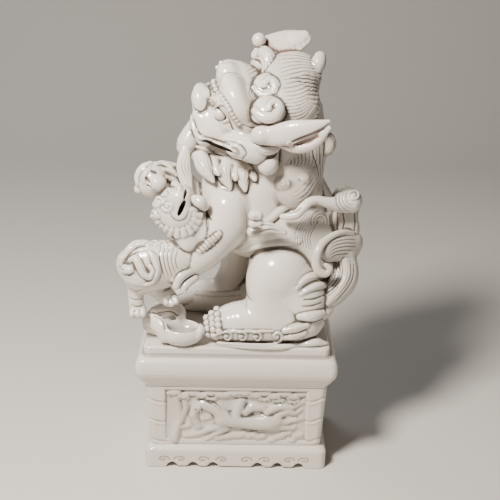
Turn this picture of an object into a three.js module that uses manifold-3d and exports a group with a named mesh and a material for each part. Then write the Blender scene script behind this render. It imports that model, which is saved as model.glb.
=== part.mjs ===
// Glazed porcelain guardian lion (foo dog) with three cubs on a rectangular plinth.
// Millimetres, +Z up. The lion faces -X and its near side is -Y.
// The origin is the middle of the whole footprint, on the table.
// Every mesh is one piece of the casting: pressed or slip cast on its own, then joined and glazed.
import * as THREE from 'three';
import { mergeVertices } from 'three/addons/utils/BufferGeometryUtils.js';
import Module from 'manifold-3d';

const wasm = await Module();
wasm.setup();

// ---- driving dimensions ----
const JOINT_GAP = 0.3; // clay slip seam left between neighbouring pieces
const FACET = 0.15; // how far a flat facet may stand off the curved surface it replaces
const WALL = 5; // wall of the hollow plinth
const FOOT_HALF_X = 75; // half length of the plinth foot on the table
const FOOT_HALF_Y = 46;
const FOOT_HEIGHT = 19.5; // foot with its top bevel
const BODY_TOP = 74.6; // where the tapered body meets the moulding
const BODY_HALF_TOP = 73.8;
const BODY_HALF_LOW = 70.6;
const DEPTH_LESS = 29; // the plinth is this much less in half depth than in half length
const CORNER_RADIUS = 5.5;
const CORNER_STEPS = 2;
const MOULD_HALF_X = 81; // widest line of the moulding
const MOULD_Z = 93;
const SLAB_HALF_X = 74.3; // flat top slab under the lion
const PLINTH_TOP = 110.5;
const CAP_SKIN = 8; // thickness of the top slab over the hollow
const NOTCH_X = [18.5, 35, 52.5]; // cloud-edge notches of the foot, from the middle
const NOTCH_Y = [10, 26];
const NOTCH_RISE = 5;
const NOTCH_FLARE = 2.5; // the outermost notch leans this far out to the table
const LOBE_CLEAR = 0.8; // the hanging lobes stop this far above the table
const RECESS = 2.2; // depth of the relief panels' recess
const PANEL_LOW = 25; // lower edge of the relief panels
const PANEL_HIGH = 71;
const PANEL_HALF_X = 57;
const PANEL_HALF_Y = 29;
const PANEL_SEAM = 0.4; // gap round a relief panel in its recess
const PLATE = 1.5; // thickness of a relief panel's plate
const HEAD_ORIGIN = [25.6, -12, 310.2]; // between the ears
const HEAD_ROLL = THREE.MathUtils.degToRad(33); // crown leans toward -Y
const HEAD_PITCH = THREE.MathUtils.degToRad(15); // muzzle raised

// ---- glazes ----
const IVORY = 0xe9e6df;
const WASH = 0xd9d5ce;
const PINK = 0xe4d3c9;

// ---- shape helpers ----
// A three.js geometry as a solid.
function solid(geometry) {
  const bare = geometry.index ? geometry.toNonIndexed() : geometry.clone();
  bare.deleteAttribute('normal');
  bare.deleteAttribute('uv');
  const joined = mergeVertices(bare, 1e-4);
  const corners = joined.index.array;
  const kept = [];
  for (let i = 0; i < corners.length; i += 3) {
    const [a, b, c] = [corners[i], corners[i + 1], corners[i + 2]];
    if (a !== b && b !== c && c !== a) kept.push(a, b, c);
  }
  return new wasm.Manifold(new wasm.Mesh({
    numProp: 3,
    vertProperties: new Float32Array(joined.attributes.position.array),
    triVerts: new Uint32Array(kept),
  }));
}

function join(solids) {
  return solids.reduce((all, next) => all.add(next));
}

function box(low, high, grow = 0) {
  const size = high.map((h, i) => h - low[i] + 2 * grow);
  const geometry = new THREE.BoxGeometry(...size);
  geometry.translate(...low.map((l, i) => (l + high[i]) / 2));
  return solid(geometry);
}

// An ellipsoid. frame, when given, is a matrix whose axes turn the radii.
function blob(centre, radii, grow = 0, frame = null, around = 9, rings = 6) {
  const geometry = new THREE.SphereGeometry(1, around, rings);
  geometry.scale(...radii.map((r) => r + grow));
  if (frame) geometry.applyMatrix4(frame);
  geometry.translate(...centre);
  return solid(geometry);
}

// A round-ended bar along a curve. Each station is [x, y, z, radius].
// flat scales the section along its second axis; broad is the direction of its first axis.
function bar(stations, grow = 0, { flat = 1, broad = [0, 1, 0], around = 8, steps = 2 } = {}) {
  const path = new THREE.CatmullRomCurve3(stations.map(([x, y, z]) => new THREE.Vector3(x, y, z)));
  const spans = (stations.length - 1) * steps;
  const rings = spans + 4;
  const geometry = new THREE.SphereGeometry(1, around, rings);
  const place = geometry.attributes.position;
  const uv = geometry.attributes.uv;
  const wide = new THREE.Vector3(...broad).normalize();
  for (let i = 0; i < place.count; i += 1) {
    const ring = Math.round((1 - uv.getY(i)) * rings);
    const turn = Math.round(uv.getX(i) * around) % around * 2 * Math.PI / around;
    const t = THREE.MathUtils.clamp((ring - 2) / spans, 0, 1);
    const at = t * (stations.length - 1);
    const first = Math.min(Math.floor(at), stations.length - 2);
    const blend = at - first;
    const radius = stations[first][3] * (1 - blend) + stations[first + 1][3] * blend + grow;
    const centre = path.getPoint(t);
    const along = path.getTangent(t);
    const second = along.clone().cross(wide).normalize();
    const across = second.clone().cross(along).normalize();
    const before = Math.max(0, 2 - ring) / 2;
    const after = Math.max(0, ring - 2 - spans) / 2;
    const cap = before + after;
    const lift = Math.sin(cap * Math.PI / 2) * radius * (after > 0 ? 1 : -1) * Math.min(1, flat + 0.2);
    const slim = cap === 1 ? 0 : Math.cos(cap * Math.PI / 2) * radius;
    centre.addScaledVector(along, lift);
    centre.addScaledVector(across, Math.cos(turn) * slim);
    centre.addScaledVector(second, Math.sin(turn) * slim * flat);
    place.setXYZ(i, centre.x, centre.y, centre.z);
  }
  return facingOut(geometry);
}

// A geometry as a solid. Its faces are turned round first when they point inward.
function facingOut(geometry) {
  const made = solid(geometry);
  if (made.volume() > 0) return made;
  const corners = geometry.index.array;
  for (let i = 0; i < corners.length; i += 3) {
    const keep = corners[i + 1];
    corners[i + 1] = corners[i + 2];
    corners[i + 2] = keep;
  }
  return solid(geometry);
}

// A rounded rectangular block. profile lists [half length, z] from its foot up to its top.
// Its half depth is everywhere less by the same step.
function block(profile, centreX = FOOT_HALF_X - CORNER_RADIUS) {
  const perCorner = CORNER_STEPS + 1;
  const segments = 4 * perCorner;
  const inset = 0.5;
  const centreY = centreX - DEPTH_LESS;
  const low = profile[0][1];
  const high = profile[profile.length - 1][1];
  const points = profile.map(([half, z]) => new THREE.Vector2(half - centreX, z));
  points.push(new THREE.Vector2(inset, high), new THREE.Vector2(inset, low), points[0].clone());
  const geometry = new THREE.LatheGeometry(points, segments);
  const place = geometry.attributes.position;
  for (let i = 0; i < place.count; i += 1) {
    const column = Math.floor(i / points.length) % segments;
    const point = points[i % points.length];
    const quarter = Math.floor(column / perCorner);
    const turn = (quarter + (column % perCorner) / CORNER_STEPS) * Math.PI / 2;
    const sideX = quarter === 0 || quarter === 3 ? 1 : -1;
    const sideY = quarter < 2 ? 1 : -1;
    place.setXYZ(
      i,
      sideX * centreX + point.x * Math.cos(turn),
      sideY * centreY + point.x * Math.sin(turn),
      point.y,
    );
  }
  const shell = facingOut(geometry);
  const core = box([-centreX - 1, -centreY - 1, low], [centreX + 1, centreY + 1, high]);
  return shell.add(core);
}

// A shape drawn in X and Z, stretched through Y.
function prismY(points, lowY, highY) {
  const shape = new THREE.Shape(points.map(([x, z]) => new THREE.Vector2(x, z)));
  const geometry = new THREE.ExtrudeGeometry(shape, { depth: highY - lowY, bevelEnabled: false });
  geometry.rotateX(Math.PI / 2);
  geometry.translate(0, highY, 0);
  return solid(geometry);
}

function turnedAboutZ(made, degrees) {
  return made.rotate([0, 0, degrees]);
}

// ---- plinth ----
// One cloud edge: lobes hang between the notches, the end feet stay on the table.
function cloudCut(notches, lowY, highY) {
  const edge = [...notches].reverse().map((n) => -n).concat(notches);
  const arcSteps = 4;
  const points = [[edge[0] - NOTCH_FLARE, -1], [edge[0], NOTCH_RISE]];
  for (let i = 0; i + 1 < edge.length; i += 1) {
    for (let s = 1; s <= arcSteps; s += 1) {
      const t = s / arcSteps;
      const drop = Math.pow(Math.abs(Math.sin(Math.PI * t)), 0.6) * (NOTCH_RISE - LOBE_CLEAR);
      points.push([edge[i] + (edge[i + 1] - edge[i]) * t, NOTCH_RISE - drop]);
    }
  }
  points.push([edge[edge.length - 1] + NOTCH_FLARE, -1]);
  return prismY(points, lowY, highY);
}

// The hollow inside the plinth between two heights.
function hollow(low, high) {
  const x = BODY_HALF_LOW - WALL;
  const y = x - DEPTH_LESS;
  return box([-x, -y, low], [x, y, high]);
}

function plinthFoot() {
  const outer = block([
    [FOOT_HALF_X, 0],
    [FOOT_HALF_X, FOOT_HEIGHT - 4],
    [FOOT_HALF_X - 1, FOOT_HEIGHT - 2],
    [BODY_HALF_LOW, FOOT_HEIGHT],
  ]);
  const ends = cloudCut(NOTCH_X, -FOOT_HALF_Y - 5, FOOT_HALF_Y + 5);
  const sides = turnedAboutZ(cloudCut(NOTCH_Y, -FOOT_HALF_X - 5, FOOT_HALF_X + 5), 90);
  return outer.subtract(hollow(-1, FOOT_HEIGHT + 1)).subtract(ends).subtract(sides);
}

// Depth of the recess floors, measured as a half length like the rest of the plinth.
const RECESS_HALF = BODY_HALF_LOW - RECESS;

function plinthBody() {
  const base = FOOT_HEIGHT + JOINT_GAP;
  const far = 90;
  const recessY = RECESS_HALF - DEPTH_LESS;
  return block([[BODY_HALF_LOW, base], [BODY_HALF_TOP, BODY_TOP]])
    .subtract(hollow(base - 1, BODY_TOP + 1))
    .subtract(box([-PANEL_HALF_X, -far, PANEL_LOW], [PANEL_HALF_X, -recessY, PANEL_HIGH]))
    .subtract(box([-PANEL_HALF_X, recessY, PANEL_LOW], [PANEL_HALF_X, far, PANEL_HIGH]))
    .subtract(box([-far, -PANEL_HALF_Y, PANEL_LOW], [-RECESS_HALF, PANEL_HALF_Y, PANEL_HIGH]))
    .subtract(box([RECESS_HALF, -PANEL_HALF_Y, PANEL_LOW], [far, PANEL_HALF_Y, PANEL_HIGH]));
}

function plinthCap() {
  const base = BODY_TOP + JOINT_GAP;
  return block([
    [BODY_HALF_TOP, base],
    [76.5, 79.5],
    [79.8, 85.5],
    [MOULD_HALF_X, MOULD_Z],
    [80, 98.5],
    [77, 101.8],
    [SLAB_HALF_X, 103.6],
    [SLAB_HALF_X, PLINTH_TOP - 1.2],
    [SLAB_HALF_X - 1.2, PLINTH_TOP],
  ], SLAB_HALF_X - 1.8).subtract(hollow(base - 1, PLINTH_TOP - CAP_SKIN));
}

// ---- relief panels: figures stand on a thin plate; x runs along the panel, z up ----
function onPanel(parts, halfLength) {
  const half = halfLength - PANEL_SEAM;
  const low = PANEL_LOW + PANEL_SEAM;
  const high = PANEL_HIGH - PANEL_SEAM;
  const plate = box([-half, 0, low], [half, PLATE, high]);
  const made = parts.map((stations) => bar(stations.map(([x, z, r]) => [x, PLATE * 0.4, z, r]), 0, {
    flat: 0.55, broad: [1, 0, 1], around: 6, steps: 1,
  }));
  const keep = box([-half, -2 * PLATE, low], [half, PLATE, high]);
  return join([plate, ...made]).intersect(keep).simplify(FACET);
}

// A galloping horse under a pine, with rocks.
const HORSE = [
  [[-3, 49, 6], [12, 48, 5], [26, 47, 6.5]],
  [[-5, 51, 5], [-15, 57, 3.6], [-22, 59, 2.8]],
  [[-22, 59, 3], [-31, 52, 2]],
  [[-6, 47, 3.4], [-22, 41, 1.9], [-36, 38, 1.6]],
  [[-2, 45, 3.2], [-14, 38, 1.8], [-22, 33, 1.5]],
  [[29, 46, 4], [38, 40, 2], [50, 38, 1.5]],
  [[27, 44, 3.6], [33, 36, 1.9], [44, 33, 1.4]],
  [[32, 52, 2], [42, 56, 2.4], [52, 51, 1.4]],
];
const PINE = [
  [[-48, 28, 3], [-45, 45, 3.4], [-49, 60, 3]],
  [[-52, 65, 4.5], [-36, 67, 4.2], [-20, 66, 3.6]],
  [[-18, 68, 3.4], [2, 66, 4.2], [20, 68, 3.6]],
  [[18, 66, 3.4], [36, 67, 4], [53, 64, 3.6]],
];
const ROCKS = [
  [[-34, 29, 3], [-18, 31, 4], [-4, 29, 3]],
  [[0, 30, 4], [16, 32, 4.4], [34, 29, 3.4]],
];
const CLOUDS = [
  [[-24, 36, 3], [-10, 40, 4], [4, 35, 4.4], [20, 38, 3]],
  [[-22, 58, 3], [-6, 62, 4.2], [10, 57, 4], [24, 60, 3]],
  [[-14, 49, 3.4], [0, 47, 3.8], [14, 50, 3.2]],
];

function panelAt(parts, halfLength, out, degrees) {
  return turnedAboutZ(onPanel(parts, halfLength).translate([0, -out, 0]), degrees);
}

// ---- head frame: f runs to the nose, l to the near cheek, u to the crown ----
const AXIS_F = new THREE.Vector3(
  -Math.cos(HEAD_PITCH),
  -Math.sin(HEAD_ROLL) * Math.sin(HEAD_PITCH),
  Math.cos(HEAD_ROLL) * Math.sin(HEAD_PITCH),
);
const AXIS_L = new THREE.Vector3(0, -Math.cos(HEAD_ROLL), -Math.sin(HEAD_ROLL));
const AXIS_U = AXIS_F.clone().cross(AXIS_L);
const HEAD_FRAME = new THREE.Matrix4().makeBasis(AXIS_F, AXIS_L, AXIS_U);

function headPoint(f, l, u) {
  const p = new THREE.Vector3(f, l, u).applyMatrix4(HEAD_FRAME);
  return [p.x + HEAD_ORIGIN[0], p.y + HEAD_ORIGIN[1], p.z + HEAD_ORIGIN[2]];
}

function headBlob(centre, radii, grow, around = 9, rings = 6) {
  return blob(headPoint(...centre), radii, grow, HEAD_FRAME, around, rings);
}

function headBar(stations, grow, options = {}) {
  const broad = options.broadInHead
    ? new THREE.Vector3(...options.broadInHead).applyMatrix4(HEAD_FRAME).toArray()
    : AXIS_L.toArray();
  const placed = stations.map(([f, l, u, r]) => [...headPoint(f, l, u), r]);
  return bar(placed, grow, { ...options, broad });
}

const SIDES = { near: 1, far: -1 };

// ---- lion pieces: each takes how much to grow, so a neighbour can be cut back from it ----
function torso(grow) {
  return join([
    blob([10, 0, 206], [32, 29, 34], grow, null, 12, 9),
    blob([-5, -7, 219], [20, 23, 23], grow, null, 11, 8),
    blob([38, 0, 196], [34, 28, 36], grow, null, 12, 9),
    blob([60, 2, 166], [27, 29, 42], grow, null, 12, 9),
    bar([[12, 0, 220, 26], [26, 0, 244, 25], [34, 0, 262, 24]], grow, { around: 10 }),
  ]);
}

function head(grow) {
  return join([
    headBlob([8, 0, -24], [36, 33, 24], grow, 12, 9),
    headBlob([32, 0, -30], [23, 26, 14], grow, 11, 7),
    headBlob([51, 0, -26], [8.5, 11, 9], grow),
    headBlob([27, 12, -6], [17, 17, 13], grow),
    headBlob([27, -12, -6], [17, 17, 13], grow),
    headBlob([47, 9, -29], [5.5, 5, 5], grow, 7, 5),
    headBlob([47, -9, -29], [5.5, 5, 5], grow, 7, 5),
  ]);
}

function lowerJaw(grow) {
  return join([
    headBlob([20, 0, -51], [32, 26, 8], grow, 11, 7),
    bar([[...headPoint(44, -8, -54), 7], [-41, 11, 262, 9], [-41, 12, 256, 6]], grow, { around: 7 }),
  ]);
}

function ear(grow, side, stations) {
  return join([
    headBar(stations, grow, { flat: 0.4, broadInHead: [0.55, 0, 0.83], around: 9 }),
    headBlob(side > 0 ? [7, 40, -7] : [14, -37, 10], [6, 6, 6], grow, 7, 5),
  ]);
}

// The near ear lies back along the mane, the far ear is shorter and stands up.
const NEAR_EAR = [[2, 40, -8, 8], [-8, 45, -4, 16], [-22, 47, 3, 15], [-37, 44, 21, 3]];
const FAR_EAR = [[7, -38, 3, 7], [-1, -42, 9, 13], [-10, -45, 14, 12], [-20, -45, 22, 5]];

function crownHair(grow) {
  return join([
    headBar([[-7, -3, -4, 29], [-14, -4, -3, 32], [-20, -4, 0, 27]], grow, { flat: 0.5, around: 11 }),
    headBlob([-22, -17, 10], [14, 14, 12], grow, 9, 6),
    headBlob([-29, -29, 15], [8, 7, 10], grow, 8, 6),
    headBlob([-26, 19, 3], [10, 11, 9], grow, 8, 6),
  ]);
}

function hairlineCurl(grow, l) {
  return join([
    headBlob([6, l, 4], [13, 12.5, 9], grow, 9, 6),
    headBlob([12, l, -3], [7, 9, 6], grow, 7, 5),
  ]);
}

function neckMane(grow) {
  return join([
    bar([[48, -2, 292, 16], [49, -2, 266, 19], [46, -3, 240, 20], [56, 0, 214, 12]], grow, { around: 9 }),
    blob([38, -22, 238], [14, 8, 14], grow, null, 9, 6),
    blob([38, 22, 238], [14, 8, 14], grow, null, 9, 6),
    blob([69, -4, 267], [6, 8, 8], grow, null, 7, 5),
  ]);
}

function cheekTuft(grow, side) {
  const low = side > 0 ? [21, -31, 252] : [24, 30, 276];
  return join([
    headBlob([-2, side * 36, -25], [8, 8, 9], grow, 7, 5),
    bar([[...headPoint(-4, side * 36, -32), 7], [...low, 9]], grow, { around: 8, steps: 1 }),
  ]);
}

// Locks hang from the edge of the jaw and lean out over the chest.
function beard(grow, side) {
  const roots = [[38, 11, 62], [26, 19, 57], [13, 23, 54], [2, 24, 51]];
  const out = side > 0 ? -13 : 3;
  const drop = side > 0 ? 27 : 12;
  const rootLine = roots.map(([f, l, low]) => [f, side * l, -low, 5]);
  const root = headBar(rootLine, grow, { around: 7, steps: 1 });
  const locks = roots.map(([f, l, low]) => {
    const [x, y, z] = headPoint(f, side * l, -low);
    return bar(
      [[x, y, z, 6.5], [x + 2, y + out * 0.6, z - drop * 0.6, 6], [x + 6, y + out, z - drop, 2]],
      grow,
      { flat: 0.6, broad: [1, 0, 0], around: 7, steps: 1 },
    );
  });
  return join([root, ...locks]);
}

function eye(grow, side) {
  return headBlob([35.5, side * 19, -16], [5.5, 5, 5.5], grow, 7, 5);
}

function nearForeleg(grow) {
  return bar(
    [[2, -22, 220, 20], [-7, -25, 205, 19], [-20, -30, 190, 15.5], [-34, -33, 180, 11.5], [-41, -34, 176, 9]],
    grow,
    { around: 11, flat: 0.95 },
  );
}

function farForeleg(grow) {
  return join([
    bar([[2, 22, 208, 18], [-1, 26, 180, 14], [-4, 28, 150, 12], [-12, 28, 128, 13]], grow, { around: 9 }),
    bar([[-4, 28, 124, 14], [-30, 28, 124, 14], [-48, 28, 121, 10]], grow, { around: 9 }),
  ]);
}

function hindLeg(grow, side, shift) {
  const y = (value) => -side * value;
  return join([
    blob([34 + shift, y(24), 165], [28, 19, 26], grow, null, 12, 9),
    bar([[56 + shift, y(28), 148, 14], [58 + shift, y(30), 128, 14], [32 + shift, y(32), 126, 17],
      [2 + shift, y(32), 126, 17], [-13 + shift, y(32), 124, 13]], grow, { around: 9 }),
  ]);
}

function elbowTuft(grow, side) {
  const y = (value) => -side * value;
  return join([
    bar([[17, y(29), 220, 5], [17, y(32), 211, 7], [15, y(32), 201, 6.5]], grow, { around: 7 }),
    bar([[18, y(31), 203, 5], [28, y(32), 206, 4], [39, y(32), 203, 1.8]], grow, { around: 7 }),
  ]);
}

function tailPlume(grow) {
  return join([
    blob([83, 3, 190], [14, 14, 42], grow, null, 10, 8),
    blob([87, 4, 217], [12, 12, 14], grow, null, 8, 6),
    blob([87, 4, 195], [11, 12, 12], grow, null, 8, 6),
    blob([83, 4, 173], [10, 12, 12], grow, null, 8, 6),
    blob([83, 4, 150], [11, 12, 12], grow, null, 8, 6),
  ]);
}

function tailHorn(grow) {
  return bar(
    [[34, -31, 215, 3], [44, -34, 213, 5.5], [53, -32, 222, 6], [64, -29, 227, 6], [76, -24, 223, 7.5],
      [87, -17, 228, 10.5]],
    grow,
    { around: 8 },
  );
}

function tailScroll(grow) {
  return join([
    bar([[89, -13, 186, 10], [78, -22, 193, 11], [68, -28, 187, 9], [62, -32, 173, 7.5], [69, -33, 163, 6.5]],
      grow, { around: 8 }),
    bar([[82, -22, 180, 8], [80, -24, 162, 10], [68, -28, 150, 9], [51, -31, 147, 5]],
      grow, { around: 8 }),
  ]);
}

function legTuft(grow) {
  return bar(
    [[52, -40, 136, 3], [64, -34, 139, 6], [73, -26, 143, 5]],
    grow,
    { around: 7 },
  );
}

function scarf(grow) {
  const turns = 9;
  const bowl = [];
  for (let i = 0; i <= turns; i += 1) {
    const a = (0.22 + 0.86 * i / turns) * 2 * Math.PI;
    bowl.push([-43 + 12.5 * Math.cos(a), -37 + 9 * Math.sin(a), 116 + 2.5 * Math.sin(a), 5]);
  }
  return join([
    bar(bowl, grow, { around: 7, steps: 1 }),
    bar(
      [[-57, -36, 114, 6], [-68, -31, 121, 7], [-63, -27, 130, 5.5], [-50, -27, 133, 5], [-41, -28, 125, 4]],
      grow,
      { around: 7 },
    ),
  ]);
}

function groundLeaf(grow) {
  return bar([[50, -40, 112, 3], [60, -38, 114, 6], [70, -38, 112, 2.5]], grow, { flat: 0.6, around: 8 });
}

function cubUnderPaw(grow) {
  return join([
    bar(
      [[-38, -38, 188, 10], [-52, -36, 179, 15], [-68, -36, 177, 16.5], [-79, -36, 174, 13]],
      grow,
      { around: 9 },
    ),
    blob([-84, -36, 172], [9, 10, 10], grow, null, 9, 6),
    bar([[-78, -37, 170, 9], [-77, -37, 160, 8.5], [-73, -37, 155, 7]], grow, { around: 8 }),
    bar([[-82, -33, 158, 5.5], [-82, -33, 146, 5.5], [-80, -34, 133, 6.5]], grow, { around: 7 }),
    bar([[-66, -31, 160, 7], [-61, -30, 151, 6.5], [-55, -30, 145, 5]], grow, { around: 7 }),
    blob([-74, -38, 186], [10, 6, 6], grow, null, 7, 5),
  ]);
}

function cubHindPaw(grow) {
  return bar([[-34, -42, 190, 6], [-26, -44, 195, 7], [-17, -44, 203, 5]], grow, { around: 7 });
}

function cubAtChin(grow) {
  return join([
    blob([-46, -28, 220], [16, 15, 17], grow, null, 9, 6),
    blob([-50, -34, 232], [8, 8, 8], grow, null, 9, 6),
    blob([-56, -32, 226], [8, 8, 8], grow, null, 7, 5),
    blob([-64, -28, 216], [6, 6, 6], grow, null, 7, 5),
    blob([-64, -28, 205], [6, 6, 6], grow, null, 7, 5),
    blob([-34, -34, 227], [6.5, 6, 6], grow, null, 7, 5),
    bar([[-46, -20, 214, 13], [-38, -14, 200, 12], [-24, -16, 200, 8]], grow, { around: 8 }),
  ]);
}

function cubRider(grow) {
  return join([
    blob([-69, -16, 242], [12, 12, 14], grow, null, 9, 7),
    blob([-62, -26, 240], [8, 7, 7], grow, null, 9, 6),
    blob([-77, -18, 233], [5, 5, 5], grow, null, 7, 5),
    blob([-66, -22, 253], [5, 5, 4], grow, null, 7, 5),
    bar(
      [[-66, -10, 242, 10], [-54, -6, 240, 9], [-40, -4, 226, 11], [-26, -4, 214, 10]],
      grow,
      { around: 10 },
    ),
  ]);
}

function mouthLeaf(grow) {
  return bar(
    [[-42, -8, 262, 4], [-43, -12, 250, 6], [-41, -16, 240, 5], [-38, -20, 232, 2.5]],
    grow,
    { flat: 0.55, broad: [1, 0, 0], around: 8, steps: 2 },
  );
}

// ---- assembly: a piece named earlier keeps its shape, a later one is cut back from it ----
const MAKERS = [
  ['torso', IVORY, torso],
  ['head', IVORY, head],
  ['lower_jaw', IVORY, lowerJaw],
  ['near_eye', IVORY, (g) => eye(g, SIDES.near)],
  ['far_eye', IVORY, (g) => eye(g, SIDES.far)],
  ['hairline_curl_mid', IVORY, (g) => hairlineCurl(g, 0)],
  ['hairline_curl_near', IVORY, (g) => hairlineCurl(g, 24)],
  ['hairline_curl_far', IVORY, (g) => hairlineCurl(g, -28)],
  ['near_ear', PINK, (g) => ear(g, SIDES.near, NEAR_EAR)],
  ['far_ear', PINK, (g) => ear(g, SIDES.far, FAR_EAR)],
  ['crown_hair', WASH, crownHair],
  ['near_hind_leg', IVORY, (g) => hindLeg(g, SIDES.near, 0)],
  ['far_hind_leg', IVORY, (g) => hindLeg(g, SIDES.far, 8)],
  ['near_foreleg', IVORY, nearForeleg],
  ['far_foreleg', IVORY, farForeleg],
  ['neck_mane', WASH, neckMane],
  ['near_cheek_tuft', IVORY, (g) => cheekTuft(g, SIDES.near)],
  ['far_cheek_tuft', IVORY, (g) => cheekTuft(g, SIDES.far)],
  ['near_beard', IVORY, (g) => beard(g, SIDES.near)],
  ['far_beard', IVORY, (g) => beard(g, SIDES.far)],
  ['near_elbow_tuft', IVORY, (g) => elbowTuft(g, SIDES.near)],
  ['far_elbow_tuft', IVORY, (g) => elbowTuft(g, SIDES.far)],
  ['tail_plume', WASH, tailPlume],
  ['tail_scroll', WASH, tailScroll],
  ['tail_horn', IVORY, tailHorn],
  ['leg_tuft', IVORY, legTuft],
  ['cub_under_paw', IVORY, cubUnderPaw],
  ['cub_hind_paw', WASH, cubHindPaw],
  ['cub_at_chin', IVORY, cubAtChin],
  ['cub_rider', IVORY, cubRider],
  ['mouth_leaf', IVORY, mouthLeaf],
  ['scarf', IVORY, scarf],
  ['ground_leaf', IVORY, groundLeaf],
];

const group = new THREE.Group();
group.name = 'foo_dog_statue';
const figure = new THREE.Group(); // modelled about the middle of the plinth
group.add(figure);

function addPiece(name, colour, made) {
  const out = made.getMesh();
  const geometry = new THREE.BufferGeometry();
  const count = out.vertProperties.length / out.numProp;
  const place = new Float32Array(count * 3);
  for (let i = 0; i < count; i += 1) {
    for (let k = 0; k < 3; k += 1) place[i * 3 + k] = out.vertProperties[i * out.numProp + k];
  }
  geometry.setAttribute('position', new THREE.BufferAttribute(place, 3));
  geometry.setIndex(new THREE.BufferAttribute(new Uint32Array(out.triVerts), 1));
  geometry.computeVertexNormals();
  const material = new THREE.MeshStandardMaterial({ color: colour, roughness: 0.22, metalness: 0 });
  const mesh = new THREE.Mesh(geometry, material);
  mesh.name = name;
  figure.add(mesh);
}

// The largest connected part of a solid, without the crumbs a cut can leave.
function wholePiece(made) {
  const parts = made.decompose();
  return parts.reduce((best, next) => (next.volume() > best.volume() ? next : best));
}

function near(a, b) {
  const p = a.boundingBox();
  const q = b.boundingBox();
  return [0, 1, 2].every((k) => p.min[k] <= q.max[k] && q.min[k] <= p.max[k]);
}

addPiece('plinth_foot', IVORY, plinthFoot());
addPiece('plinth_body', IVORY, plinthBody());
addPiece('plinth_cap', IVORY, plinthCap());
const PANEL_OUT = RECESS_HALF + JOINT_GAP + PLATE;
const SCENE = [...PINE, ...HORSE, ...ROCKS];
addPiece('relief_front', WASH, panelAt(SCENE, PANEL_HALF_X, PANEL_OUT - DEPTH_LESS, 0));
addPiece('relief_back', WASH, panelAt(SCENE, PANEL_HALF_X, PANEL_OUT - DEPTH_LESS, 180));
addPiece('relief_right', WASH, panelAt(CLOUDS, PANEL_HALF_Y, PANEL_OUT, 90));
addPiece('relief_left', WASH, panelAt(CLOUDS, PANEL_HALF_Y, PANEL_OUT, -90));

const ground = box([-200, -200, PLINTH_TOP - 300], [200, 200, PLINTH_TOP + JOINT_GAP]);
const earlier = [];
for (const [name, colour, make] of MAKERS) {
  let piece = make(0).subtract(ground);
  for (const [grownSolid] of earlier) {
    if (near(grownSolid, piece)) piece = piece.subtract(grownSolid);
  }
  addPiece(name, colour, wholePiece(piece).simplify(FACET));
  earlier.push([make(JOINT_GAP)]);
}

// The origin goes to the middle of the whole figure's footprint, on the table.
const extent = new THREE.Box3().setFromObject(figure);
figure.position.set(-(extent.min.x + extent.max.x) / 2, -(extent.min.y + extent.max.y) / 2, -extent.min.z);
figure.updateMatrixWorld(true);

export default group;
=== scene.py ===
"""Looks of the glazed porcelain guardian lion, sculpted as solids of clay and glazed.

The sculpting works in millimetres about the middle of the plinth: +X to the lion's back,
-Y to the side with the raised paw, +Z up.
"""
import math

import bpy
import numpy as np
import openvdb
from mathutils import Matrix, Vector


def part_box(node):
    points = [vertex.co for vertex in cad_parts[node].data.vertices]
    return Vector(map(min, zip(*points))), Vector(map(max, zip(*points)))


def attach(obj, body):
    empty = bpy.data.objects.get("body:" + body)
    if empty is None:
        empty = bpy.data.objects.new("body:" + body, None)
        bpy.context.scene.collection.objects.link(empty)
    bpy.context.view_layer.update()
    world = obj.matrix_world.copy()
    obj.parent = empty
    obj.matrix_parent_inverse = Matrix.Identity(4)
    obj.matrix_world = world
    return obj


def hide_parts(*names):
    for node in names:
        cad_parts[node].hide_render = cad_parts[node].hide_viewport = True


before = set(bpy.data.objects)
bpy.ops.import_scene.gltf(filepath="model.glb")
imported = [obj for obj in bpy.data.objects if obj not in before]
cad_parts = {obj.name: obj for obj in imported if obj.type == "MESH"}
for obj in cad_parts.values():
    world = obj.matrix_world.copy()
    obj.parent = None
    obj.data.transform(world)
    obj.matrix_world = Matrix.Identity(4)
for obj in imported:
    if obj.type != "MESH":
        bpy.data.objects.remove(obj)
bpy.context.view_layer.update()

# ---- driving values, mm ----
MM = 0.001
VOXEL = 0.6  # grid step of the clay
FAR = 50.0  # distance given to empty clay
REACH = 3.6  # how far past a stroke its field is worked out
MARGIN = 7.0  # clay grid past the CAD node's box
PLINTH_TOP = 110.5  # height of the step that the figure stands on
OVERLAP = 0.8  # how far a piece runs on under its neighbour
SINK = 0.4  # how far the figure runs down into the plinth's top
DENSE = 12  # a line with this many points is taken as it is, and a shorter one is smoothed
THINNEST = 0.25  # least radius of a stroke
FINE = 0.45  # radius of the grooves along a lock of hair

# ---- camera: a hand-held view of the near side, looking slightly down ----
EYE = np.array([6.2, -723.0, 447.0])
PITCH = math.radians(20.5)
YAW = math.radians(0.26)
ROLL = math.radians(0.96)
LENS = 68.4
SENSOR = 36.0
SKETCH_DEPTH = 110  # how far in front of and behind the sketch plane a line of sight is followed

# ---- the lion's head: f runs to the nose, l to the near cheek, u to the crown ----
HEAD_ORIGIN = np.array([25.6, -12.0, 310.2])
HEAD_ROLL = math.radians(33)
HEAD_PITCH = math.radians(15)
HEAD_F = np.array([
    -math.cos(HEAD_PITCH),
    -math.sin(HEAD_ROLL) * math.sin(HEAD_PITCH),
    math.cos(HEAD_ROLL) * math.sin(HEAD_PITCH),
])
HEAD_L = np.array([0.0, -math.cos(HEAD_ROLL), -math.sin(HEAD_ROLL)])
HEAD_AXES = (HEAD_F, HEAD_L, np.cross(HEAD_F, HEAD_L))


def plinth_centre():
    """The middle of the plinth at table height, in the row frame, in metres."""
    low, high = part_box("plinth_cap")
    return np.array([(low[0] + high[0]) / 2, (low[1] + high[1]) / 2, 0.0])


CENTRE = plinth_centre()


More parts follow.
